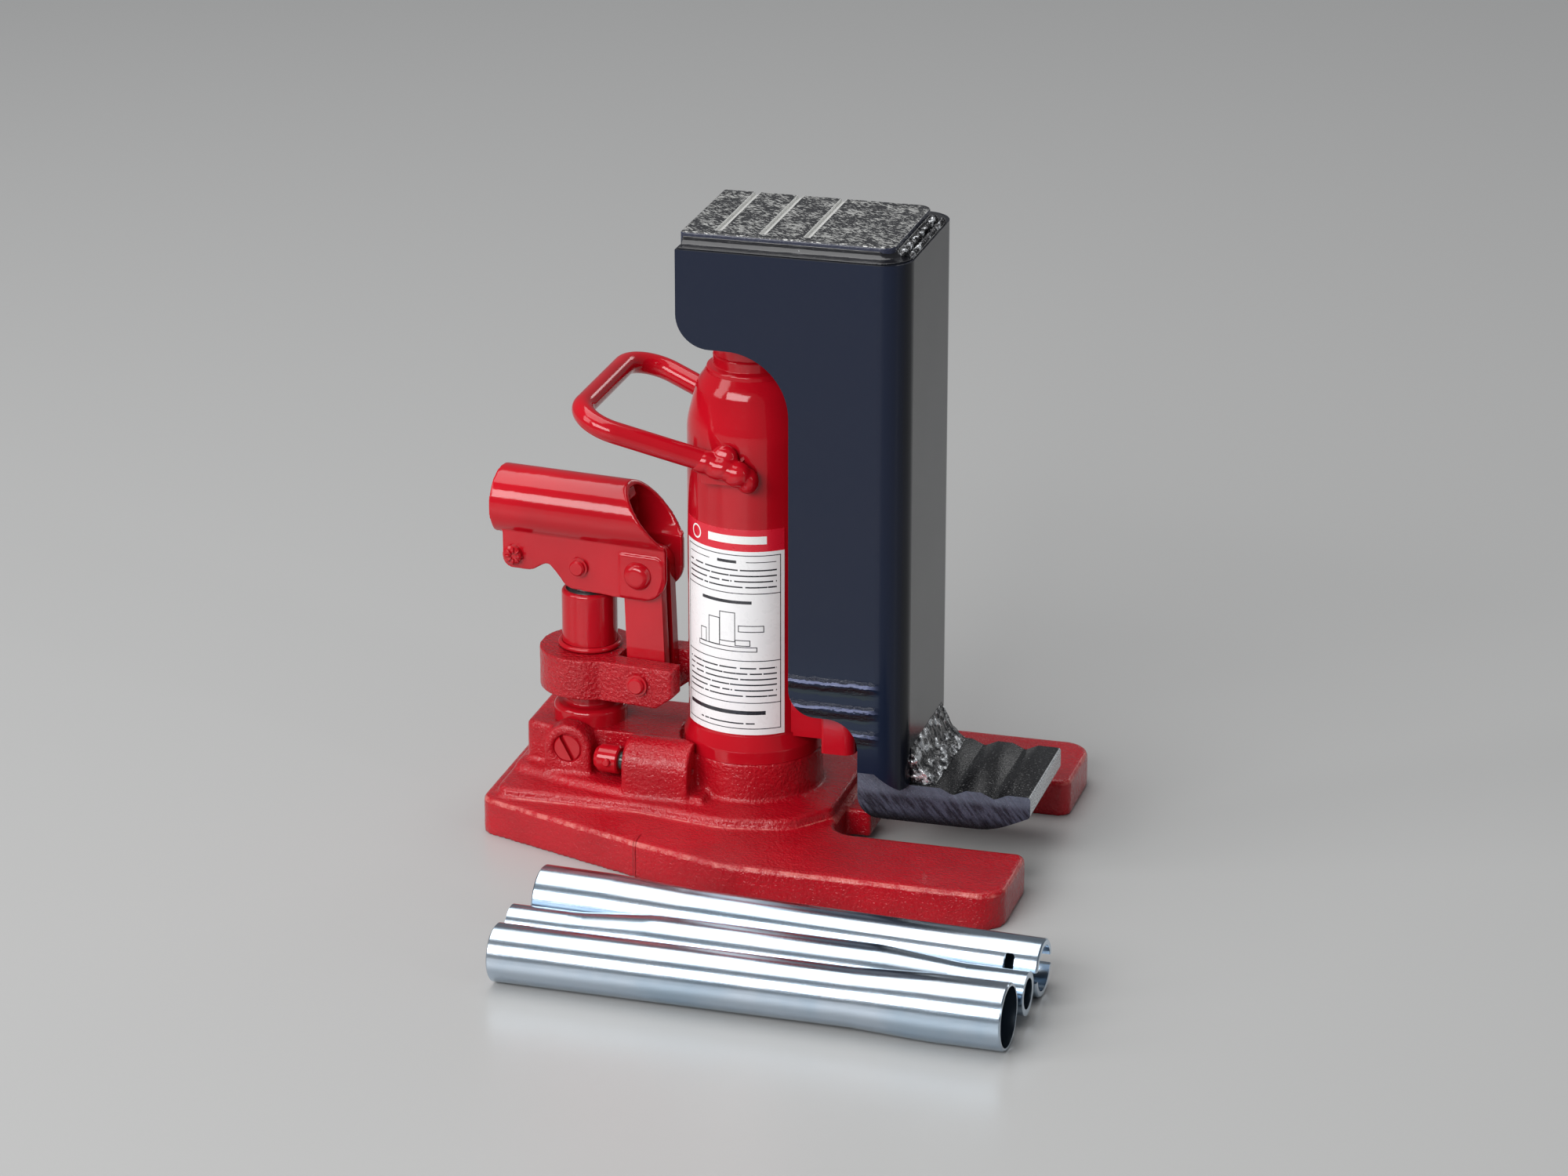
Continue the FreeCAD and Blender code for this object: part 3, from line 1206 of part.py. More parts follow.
def bar_with_flare(label):
    """A tube whose far end is flared to take the next tube."""
    length = S["bar_front_long"]
    flare = length - S["bar_flare_long"]
    outer, inner = S["bar_r"], S["bar_r"] - S["bar_wall"]
    body = new_body(label)
    spin(body, "Revolution", [
        (inner, 0),
        (outer - 0.5, 0),
        (outer, 0.5),
        (outer, flare - S["bar_taper"], S["bar_blend"]),
        (S["bar_flare_r"], flare, S["bar_blend"]),
        (S["bar_flare_r"], length - 0.5),
        (S["bar_flare_r"] - 0.4, length),
        (S["bar_flare_bore_r"], length),
        (S["bar_flare_bore_r"], flare + 1.5),
        (inner, flare - S["bar_taper"] + 1),
    ])
    return body


def bar_with_necks(label):
    """The middle tube, necked down at both ends."""
    length = S["bar_middle_long"]
    neck, step = S["bar_neck_long"], S["bar_taper"]
    outer, inner = S["bar_r"], S["bar_r"] - S["bar_wall"]
    throat = S["bar_neck_r"] - S["bar_wall"]
    body = new_body(label)
    spin(body, "Revolution", [
        (throat, 0),
        (S["bar_neck_r"], 0),
        (S["bar_neck_r"], neck, S["bar_blend"]),
        (outer, neck + step, S["bar_blend"]),
        (outer, length - neck - step, S["bar_blend"]),
        (S["bar_neck_r"], length - neck, S["bar_blend"]),
        (S["bar_neck_r"], length),
        (throat, length),
        (throat, length - neck),
        (inner, length - neck - step),
        (inner, neck + step),
        (throat, neck),
    ])
    return body


def hook_slot(body):
    """Cuts the hooked slot in a tube's plain end that turns the release screw."""
    shape = [
        (-1.9, -2), (1.9, -2), (1.9, 8.2), (7.0, 8.2, 1.4), (7.0, 12.0, 1.4), (-1.9, 12.0, 1.8)]
    sketch = sketch_on(body, "XZ_Plane")
    draw_outline(sketch, shape)
    extrude(body, "Pocket", sketch, 40, both_ways=True)


def build():
    """Makes every sub-part."""
    base_casting()
    overload_valve()
    passage_parts()
    reservoir()
    label_wrap()
    guide_rail()
    carry_handle()
    ram_parts()
    lift_column()
    head_plate()
    toe()
    welds()
    pump_cylinder()
    link_bracket()
    links()
    pump_plunger()
    handle_socket()
    socket_fasteners()
    release_screw()
    handle_tubes()


def check():
    """Stops the macro when any object or sub-part has failed."""
    DOC.recompute()
    failed = [item.Name + " " + item.Label for item in DOC.Objects
              if "Invalid" in item.State or "Error" in item.State]
    for part in PARTS:
        shape = part.Shape
        if shape.isNull() or not shape.isValid() or not shape.Solids:
            failed.append(part.Label)
    if failed:
        raise RuntimeError("failed objects: " + ", ".join(failed))


def export():
    """Writes one STEP file for each sub-part."""
    os.makedirs("parts", exist_ok=True)
    for part in PARTS:
        part.Shape.exportStep("parts/%s.step" % part.Label)
        print("%-20s %10.1f mm3" % (part.Label, part.Shape.Volume))


build()
check()
export()
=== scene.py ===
"""Toe jack: the finished look of every piece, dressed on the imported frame.

Everything is in metres in the model's own frame: +Z up, the toe points along +X, the origin on the ground
under the reservoir's axis.
"""

import json
import logging
import math
from dataclasses import dataclass, field
from enum import Enum
from functools import reduce
from typing import Any, Optional, Sequence

import bmesh
import bpy
from bpy.types import Material, NodeTree, Object
from mathutils import Matrix, Vector

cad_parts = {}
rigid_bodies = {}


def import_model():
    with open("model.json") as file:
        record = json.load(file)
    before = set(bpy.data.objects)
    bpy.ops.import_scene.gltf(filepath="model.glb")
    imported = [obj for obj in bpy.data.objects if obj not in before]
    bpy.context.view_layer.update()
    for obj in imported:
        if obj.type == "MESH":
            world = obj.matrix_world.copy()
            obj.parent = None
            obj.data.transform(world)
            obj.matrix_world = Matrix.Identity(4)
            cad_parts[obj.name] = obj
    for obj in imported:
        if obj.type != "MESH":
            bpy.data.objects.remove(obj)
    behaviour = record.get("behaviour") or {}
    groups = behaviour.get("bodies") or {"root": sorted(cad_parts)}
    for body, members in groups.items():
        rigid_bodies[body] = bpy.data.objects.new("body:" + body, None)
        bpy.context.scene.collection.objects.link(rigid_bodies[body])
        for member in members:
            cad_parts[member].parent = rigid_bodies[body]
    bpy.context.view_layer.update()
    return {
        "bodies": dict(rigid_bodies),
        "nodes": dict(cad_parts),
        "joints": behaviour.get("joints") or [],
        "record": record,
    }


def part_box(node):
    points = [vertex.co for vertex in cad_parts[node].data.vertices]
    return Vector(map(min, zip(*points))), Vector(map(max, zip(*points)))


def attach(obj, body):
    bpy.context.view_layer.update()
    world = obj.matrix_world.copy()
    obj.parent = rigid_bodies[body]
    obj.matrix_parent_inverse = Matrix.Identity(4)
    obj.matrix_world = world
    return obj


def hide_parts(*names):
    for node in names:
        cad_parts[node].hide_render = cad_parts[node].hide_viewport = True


MM = 0.001
MERGE_DISTANCE = 0.002 * MM
SOFTENING = 0.5
LOG = logging.getLogger("toe_jack")
Colour = tuple[float, float, float]
Triple = tuple[float, float, float]
Box = tuple[float, float, float, float]


# ---- shader and geometry node writing ----

class Wire:
    """A node socket that takes part in arithmetic, each operation adding a Math node."""

    def __init__(self, graph: "Graph", socket: bpy.types.NodeSocket) -> None:
        """Wraps a socket.

        Args:
            graph: the graph that the socket belongs to.
            socket: the output socket.
        """
        self.graph = graph
        self.socket = socket

    def _math(self, operation: str, first: Any, second: Any = None) -> "Wire":
        """Adds one Math node and returns its output."""
        values = {0: first} if second is None else {0: first, 1: second}
        return self.graph.node("ShaderNodeMath", values, operation=operation)[0]

    def __add__(self, other: Any) -> "Wire":
        """Returns self + other."""
        return self._math("ADD", self, other)

    __radd__ = __add__

    def __sub__(self, other: Any) -> "Wire":
        """Returns self - other."""
        return self._math("SUBTRACT", self, other)

    def __rsub__(self, other: Any) -> "Wire":
        """Returns other - self."""
        return self._math("SUBTRACT", other, self)

    def __mul__(self, other: Any) -> "Wire":
        """Returns self * other."""
        return self._math("MULTIPLY", self, other)

    __rmul__ = __mul__

    def __truediv__(self, other: Any) -> "Wire":
        """Returns self / other."""
        return self._math("DIVIDE", self, other)

    def __rtruediv__(self, other: Any) -> "Wire":
        """Returns other / self."""
        return self._math("DIVIDE", other, self)

    def above(self, limit: Any) -> "Wire":
        """Returns 1 where self is greater than limit, else 0."""
        return self._math("GREATER_THAN", self, limit)

    def below(self, limit: Any) -> "Wire":
        """Returns 1 where self is less than limit, else 0."""
        return self._math("LESS_THAN", self, limit)

    def at_least(self, other: Any) -> "Wire":
        """Returns the larger of self and other."""
        return self._math("MAXIMUM", self, other)

    def distance(self) -> "Wire":
        """Returns self without its sign."""
        return self._math("ABSOLUTE", self)

    def fraction(self) -> "Wire":
        """Returns the part of self after the point."""
        return self._math("FRACT", self)

    def whole(self) -> "Wire":
        """Returns self rounded down."""
        return self._math("FLOOR", self)

    def ease(self, low: float, high: float) -> "Wire":
        """Returns a smooth 0 to 1 step while self goes from low to high."""
        return self.graph.node("ShaderNodeMapRange", {"Value": self, "From Min": low, "From Max": high},
                               interpolation_type="SMOOTHSTEP")[0]

    def within(self, low: float, high: float) -> "Wire":
        """Returns 1 where self lies between low and high, else 0."""
        return self.above(low) * self.below(high)


class Graph:
    """Adds nodes to a node tree, with settings first and then the values or links of the sockets."""

    def __init__(self, tree: NodeTree) -> None:
        """Wraps an empty or new tree."""
        self.tree = tree

    def node(self, kind: str, values: Optional[dict] = None, **settings: Any) -> list[Wire]:
        """Adds one node.

        Args:
            kind: the node's type name.
            values: socket name or number to a value, a Wire or a socket.
            settings: properties of the node; "stops" sets a colour ramp's (position, colour) pairs.

        Returns:
            The node's enabled outputs as wires.
        """
        made = self.tree.nodes.new(kind)
        stops = settings.pop("stops", None)
        for name, value in settings.items():
            setattr(made, name, value)
        if stops:
            ramp = made.color_ramp.elements
            for i, (position, colour) in enumerate(stops):
                stop = ramp[i] if i < len(ramp) else ramp.new(position)
                stop.position = position
                stop.color = (*colour, 1)
        for key, value in (values or {}).items():
            socket = self._input(made, key)
            if isinstance(value, Wire):
                self.tree.links.new(value.socket, socket)
            elif isinstance(value, bpy.types.NodeSocket):
                self.tree.links.new(value, socket)
            elif isinstance(value, tuple) and socket.type == "RGBA":
                socket.default_value = (*value, 1)
            else:
                socket.default_value = value
        return [Wire(self, out) for out in made.outputs if out.enabled]

    @staticmethod
    def _input(made: bpy.types.Node, key: Any) -> bpy.types.NodeSocket:
        """Finds an enabled input by name, or by number among the enabled ones."""
        live = [socket for socket in made.inputs if socket.enabled]
        if isinstance(key, int):
            return live[key]
        return next(socket for socket in live if socket.name == key)

    def blend(self, share: Any, first: Any, second: Any) -> Wire:
        """Returns a colour between first (share 0) and second (share 1)."""
        return self.node("ShaderNodeMix", {"Factor": share, "A": first, "B": second}, data_type="RGBA")[0]


class Skin(Graph):
    """A material's node graph, in millimetres of the model's own frame."""

    def __init__(self, name: str) -> None:
        """Starts a material with one Principled shader."""
        self.material = bpy.data.materials.new(name)
        self.material.use_nodes = True
        super().__init__(self.material.node_tree)
        self.shader = self.tree.nodes["Principled BSDF"]
        place = self.node("ShaderNodeTexCoord")
        self.place = next(wire for wire in place if wire.socket.name == "Object")
        self.point = self.node("ShaderNodeVectorMath", {0: self.place, "Scale": 1000.0}, operation="SCALE")[0]
        self.x, self.y, self.z = self.node("ShaderNodeSeparateXYZ", {0: self.point})

    def stretched(self, scale: Sequence[float], turn: Triple = (0.0, 0.0, 0.0)) -> Wire:
        """Returns the place in millimetres, turned by X, Y and Z angles and then stretched along the axes."""
        turned = self.node("ShaderNodeMapping", {"Vector": self.point, "Rotation": turn})[0]
        return self.node("ShaderNodeVectorMath", {0: turned, 1: tuple(scale)}, operation="MULTIPLY")[0]

    def noise(self, size: float, detail: float = 3.0, rough: float = 0.55,
              place: Optional[Wire] = None) -> Wire:
        """Returns noise from 0 to 1 whose features are about size millimetres across."""
        return self.node("ShaderNodeTexNoise", {"Vector": place or self.point, "Scale": 1.0 / size,
                                                "Detail": detail, "Roughness": rough})[0]

    def cells(self, size: float) -> Wire:
        """Returns the distance to the nearest of scattered points about size millimetres apart."""
        return self.node("ShaderNodeTexVoronoi", {"Vector": self.point, "Scale": 1.0 / size})[0]

    def facing(self) -> tuple[Wire, Wire, Wire]:
        """Returns the surface's direction as its X, Y and Z parts, each from -1 to 1."""
        normal = next(w for w in self.node("ShaderNodeTexCoord") if w.socket.name == "Normal")
        east, north, up = self.node("ShaderNodeSeparateXYZ", {0: normal})
        return east, north, up

    def bump(self, height: Any, depth: float, before: Optional[Wire] = None) -> Wire:
        """Returns a normal for a height of 0 to 1 that is depth millimetres high."""
        values = {"Height": height, "Distance": depth * MM, "Strength": 1.0}
        if before:
            values["Normal"] = before
        return self.node("ShaderNodeBump", values)[0]

    def finish(self, **inputs: Any) -> Material:
        """Sets or links Principled inputs, given with underscores for spaces, and returns the material."""
        for name, value in inputs.items():
            socket = self.shader.inputs[name.replace("_", " ").replace("ior", "IOR")]
            if isinstance(value, Wire):
                self.tree.links.new(value.socket, socket)
            elif isinstance(value, tuple):
                socket.default_value = (*value, 1)
            else:
                socket.default_value = value
        return self.material


# ---- finishes ----

class Surface(Enum):
    """How the metal under a paint was made."""

    DRAWN = "drawn"
    SHEET = "sheet"
    CAST = "cast"


@dataclass(frozen=True)
class Enamel:
    """Gloss paint over drawn, sheet or cast metal.

    The paint is "deep" where it lies thicker. Its ripple is orange_peel millimetres deep, and a casting's
    grain under it is pits millimetres deep and grain millimetres across.
    """

    name: str
    colour: Colour
    deep: Colour
    surface: Surface
    roughness: float = 0.09
    orange_peel: float = 0.03
    pits: float = 0.20
    grain: float = 1.15
    coat: float = 0.1
    sheen: float = 0.36

    def tone(self, skin: Skin, shade: Wire) -> Wire:
        """Returns the paint's colour with its marks."""
        return shade

    def relief(self, skin: Skin, normal: Wire) -> Wire:
        """Returns the normal with raised or sunken marks."""
        return normal

    def material(self) -> Material:
        """Returns the paint as a material."""
        skin = Skin(self.name)
        drift = skin.noise(38, 2)
        shade = skin.blend(drift.ease(0.3, 0.75), self.colour, self.deep)
        gloss = self.roughness + 0.09 * skin.noise(2.2, 4, 0.7).ease(0.56, 0.8) + 0.03 * drift
        normal = skin.bump(skin.noise(2.6, 2), self.orange_peel)
        if self.surface is Surface.CAST:
            grain = skin.noise(self.grain, 2, 0.6)
            normal = skin.bump(grain.ease(0.3, 0.72), self.pits, normal)
            normal = skin.bump(skin.noise(6.5, 2), self.pits * 2.2, normal)
        if self.surface is Surface.SHEET:
            normal = skin.bump(skin.noise(11, 1), self.orange_peel * 4, normal)
        return skin.finish(Base_Color=self.tone(skin, shade), Roughness=gloss,
                           Normal=self.relief(skin, normal), Coat_Weight=self.coat, Coat_Roughness=0.04,
                           Specular_IOR_Level=self.sheen)


@dataclass(frozen=True)
class BaseEnamel(Enamel):
    """Enamel on the cast base, with a painted highlight along the plate's upper edge and a mould seam on each
    side.
    """

    edge_low: float = 11.4
    edge_high: float = 14.6
    seam_x: float = -26.6
    seam_from: float = 55.0
    # pale colour of the painted highlight along the plate's upper edge
    painted_edge_colour: Colour = (0.66, 0.20, 0.17)

    def tone(self, skin: Skin, shade: Wire) -> Wire:
        """Returns the colour, paler in patches along the plate's upper edge as a painted highlight."""
        edge = skin.facing()[2].within(0.22, 0.88) * skin.z.within(self.edge_low, self.edge_high)
        painted_edge_highlight = edge * skin.noise(5.5, 4, 0.7).ease(0.38, 0.60)
        return skin.blend(painted_edge_highlight * 0.5, shade, self.painted_edge_colour)

    def relief(self, skin: Skin, normal: Wire) -> Wire:
        """Returns the normal with the raised seams."""
        near = 1 - (skin.x - self.seam_x).distance().ease(0.15, 0.8)
        seam = near * skin.y.distance().above(self.seam_from) * skin.z.below(self.edge_high)
        return skin.bump(seam, 0.7, normal)


@dataclass(frozen=True)
class ScrewEnamel(Enamel):
    """Enamel on the release screw's head, left off the neck under it."""

    mouth_x: float = -41.4
    mouth_y: float = -21.5
    turn: float = 6.0
    neck: tuple[float, float] = (-30.0, 2.7)
    bare: Colour = (0.035, 0.042, 0.038)

    def tone(self, skin: Skin, shade: Wire) -> Wire:
        """Returns the colour, dark grey along the neck."""
        angle = math.radians(self.turn)
        along = (self.mouth_x - skin.x) * math.cos(angle) + (skin.y - self.mouth_y) * math.sin(angle)
        return skin.blend(along.within(*self.neck), shade, self.bare)


@dataclass(frozen=True)
class ColumnPaint:
    """Smooth dark blue paint on the column, with press ripples across the foot of its cheeks, a painted
    highlight above each ripple and painted shade below it, and painted shade on the faces that do not face
    front or back.
    """

    name: str = "column_navy"
    colour: Colour = (0.0060, 0.0105, 0.0270)
    # darker colour for the faces that do not face front or back: painted shade
    deep: Colour = (0.0050, 0.0060, 0.0100)
    cloud: Colour = (0.008, 0.011, 0.026)
    # colour of the painted highlight above each crease, then colour of the painted shade below it
    crease_painted_highlight: Colour = (0.13, 0.15, 0.26)
    crease_painted_shade: Colour = (0.016, 0.024, 0.022)
    creases: Triple = (70.8, 61.2, 51.8)
    crease_end: float = 57.0
    crease_depth: float = 1.3
    sway: float = 3.2

    def material(self) -> Material:
        """Returns the paint as a material."""
        skin = Skin(self.name)
        drift = skin.noise(60, 2)
        side = skin.facing()[1].distance()
        # painted shade: faces turned away from front and back take the darker colour
        shade = skin.blend(side.ease(0.35, 0.95), self.deep, self.colour)
        shade = skin.blend(drift.ease(0.35, 0.8) * 0.4, shade, self.cloud)
        zone = (1 - skin.x.ease(self.crease_end - 6, self.crease_end)) * side.ease(0.6, 0.9)
        ragged = skin.noise(2.6, 4, 0.7, skin.stretched((0.35, 1.0, 1.0)))
        height = skin.z + self.sway * (ragged - 0.5)
        over = [height - crease for crease in self.creases]
        fold = sum((1 - gap.distance().ease(0.0, 3.0) for gap in over), start=0.0)
        # painted highlight in a band just above each crease and painted shade in a band below it, in colour
        # only
        painted_highlight_band = sum((gap.within(0.1, 1.3) for gap in over), start=0.0)
        painted_shade_band = sum((gap.within(-4.0, -0.5) for gap in over), start=0.0)
        shade = skin.blend(painted_highlight_band * zone * ragged.ease(0.3, 0.5), shade, self.crease_painted_highlight)
        shade = skin.blend(painted_shade_band * zone * 0.6, shade, self.crease_painted_shade)
        normal = skin.bump(skin.noise(42, 1), 0.22)
        normal = skin.bump(fold * zone, self.crease_depth, normal)
        gloss = 0.17 + 0.05 * drift + 0.05 * skin.noise(1.3, 2).ease(0.66, 0.8)
        return skin.finish(Base_Color=shade, Roughness=gloss, Normal=normal, Coat_Weight=0.0,
                           Specular_IOR_Level=0.26)


@dataclass(frozen=True)
class RubbedPlate:
    """Black paint on the head plate's top, rubbed down in short pale dashes, with bare grooves."""

    name: str = "rubbed_head_plate"
    groove_floor: float = 230.0
    groove_first: float = -5.8
    groove_step: float = 16.0
    groove_end: float = -23.0
    groove_share: tuple[float, float] = (0.42, 0.58)
    dash: Triple = (0.36, 1.25, 1.0)
    dash_turns: tuple[float, float] = (38.0, -22.0)
    paint: Colour = (0.012, 0.012, 0.014)
    side_paint: Colour = (0.020, 0.024, 0.048)
    bright: Colour = (0.52, 0.52, 0.50)
    dulled: Colour = (0.36, 0.36, 0.35)
    bare: Colour = (0.66, 0.66, 0.64)

    def material(self) -> Material:
        """Returns the finish as a material."""
        skin = Skin(self.name)
        top = skin.facing()[2].above(0.6)
        one, other = (skin.noise(1.0, 3, 0.65, skin.stretched(self.dash, (0, 0, math.radians(turn))))
                      for turn in self.dash_turns)
        patch = skin.noise(7.5, 3, 0.6)
        rubbed = (0.55 * one + 0.45 * other + 0.30 * (patch - 0.5)).ease(0.515, 0.555)
        lane = ((skin.x - self.groove_first) / self.groove_step + 0.5).fraction().within(*self.groove_share)
        lane = lane * skin.x.within(self.groove_first - 3, self.groove_first + 2.2 * self.groove_step)
        floor = lane * skin.y.above(self.groove_end) * skin.z.above(self.groove_floor)
        pale = skin.blend(skin.noise(3, 3), self.bright, self.dulled)
        shade = skin.blend(rubbed * top, self.paint, pale)
        shade = skin.blend(top, self.side_paint, shade)
        shade = skin.blend(floor, shade, self.bare)
        normal = skin.bump(one, 0.16)
        return skin.finish(Base_Color=shade, Roughness=0.24 + 0.16 * rubbed, Metallic=rubbed * top * 0.35,
                           Normal=skin.bump(other, 0.16, normal), Coat_Weight=0.1, Coat_Roughness=0.1)


@dataclass(frozen=True)
class ForgedToe:
    """Gloss black over forged steel: a fine rough top with painted glints, torch-cut near side with a painted
    highlight along its upper edge and painted shade towards its foot, and a rubbed bright tip.
    """

    name: str = "forged_toe"
    tip: float = 108.4
    cut_turn: float = 38.0
    cut_stretch: Triple = (0.9, 0.4, 0.14)
    top_paint: Colour = (0.0055, 0.0055, 0.0065)
    cut_dark: Colour = (0.010, 0.012, 0.020)
    cut_light: Colour = (0.050, 0.055, 0.082)
    # paler colour along the upper edge of the sides: painted highlight
    painted_lip_highlight: Colour = (0.11, 0.125, 0.17)
    # near-black colour low on the sides: painted shade towards the bottom
    foot: Colour = (0.006, 0.006, 0.008)
    tip_dull: Colour = (0.42, 0.44, 0.46)
    tip_bright: Colour = (0.66, 0.68, 0.70)
    # colour of the painted glints on the top
    painted_glint: Colour = (0.34, 0.34, 0.34)

    def material(self) -> Material:
        """Returns the finish as a material."""
        skin = Skin(self.name)
        east, north, up = skin.facing()
        grain = skin.noise(0.8, 3, 0.65)
        slope = (0, math.radians(self.cut_turn), 0)
        cuts = skin.noise(1.0, 3, 0.6, skin.stretched(self.cut_stretch, slope))
        side = north.distance().ease(0.45, 0.8)
        cut = skin.blend(cuts.ease(0.35, 0.65), self.cut_dark, self.cut_light)
        # painted highlight along the upper edge of the sides
        cut = skin.blend(skin.z.ease(25.5, 28.5) * 0.6, cut, self.painted_lip_highlight)
        # painted shade: the sides darken towards the bottom
        cut = skin.blend(1 - skin.z.ease(17.5, 22.0), cut, self.foot)
        shade = skin.blend(side, self.top_paint, cut)
        tip = skin.x.above(self.tip) * east.ease(0.35, 0.7)
        shade = skin.blend(tip, shade, skin.blend(grain, self.tip_dull, self.tip_bright))
        # painted glints: pale colour on the up-facing grain peaks
        painted_glints = up.ease(0.6, 0.9) * grain.ease(0.60, 0.68)
        shade = skin.blend(painted_glints * 0.5, shade, self.painted_glint)
        normal = skin.bump(grain, 0.16)
        normal = skin.bump(cuts * side, 0.5, normal)
        return skin.finish(Base_Color=shade, Roughness=0.20 + 0.14 * grain, Metallic=tip * 0.6, Normal=normal,
                           Coat_Weight=0.0, Specular_IOR_Level=0.34)


@dataclass(frozen=True)
class WeldMetal:
    """Weld with a thin black coat over it and bright crumpled metal where the coat broke."""

    name: str
    bare: float
    lump: float
    depth: float
    stretch: Triple = (1.0, 0.55, 1.0)
    turn: float = 0.4
    black: Colour = (0.007, 0.007, 0.009)
    bright: Colour = (0.74, 0.76, 0.78)

    def material(self) -> Material:
        """Returns the finish as a material."""
        skin = Skin(self.name)
        crumple = skin.noise(self.lump, 4, 0.62, skin.stretched(self.stretch, (0, 0, self.turn)))
        facets = skin.cells(self.lump * 0.8)
        broken = (crumple + 0.35 * facets).ease(0.80 - 0.4 * self.bare, 0.92 - 0.4 * self.bare)
        shade = skin.blend(broken, self.black, self.bright)
        normal = skin.bump(crumple, self.depth)
        normal = skin.bump(facets, self.depth * 0.6, normal)
        return skin.finish(Base_Color=shade, Metallic=broken * 0.85, Roughness=0.13 + 0.10 * crumple,
                           Normal=normal, Coat_Weight=0.2, Coat_Roughness=0.05)


@dataclass(frozen=True)
class Plated:
    """Bright plated steel with drawing marks along one direction."""

    name: str
    colour: Colour
    tint: Colour
    roughness: float
    streak: Triple = (0.03, 2.4, 2.4)
    marks: float = 0.012

    def material(self) -> Material:
        """Returns the plating as a material."""
        skin = Skin(self.name)
        drift = skin.noise(22, 3)
        drawn = skin.noise(1.0, 4, 0.6, skin.stretched(self.streak))
        spots = skin.noise(1.6, 3, 0.6)
        shade = skin.blend(drift.ease(0.3, 0.7), self.colour, self.tint)
        gloss = self.roughness + 0.07 * drawn + 0.06 * spots.ease(0.62, 0.8)
        return skin.finish(Base_Color=shade, Metallic=1.0, Roughness=gloss,
                           Normal=skin.bump(drawn, self.marks))


@dataclass(frozen=True)
class Rubber:
    """Matt black seal rubber."""

    name: str = "seal_rubber"
    colour: Colour = (0.012, 0.012, 0.013)
    dust: Colour = (0.03, 0.03, 0.031)

    def material(self) -> Material:
        """Returns the rubber as a material."""
        skin = Skin(self.name)
        grain = skin.noise(0.6, 3, 0.6)
        shade = skin.blend(grain, self.colour, self.dust)
        return skin.finish(Base_Color=shade, Roughness=0.62 + 0.2 * grain, Normal=skin.bump(grain, 0.05))


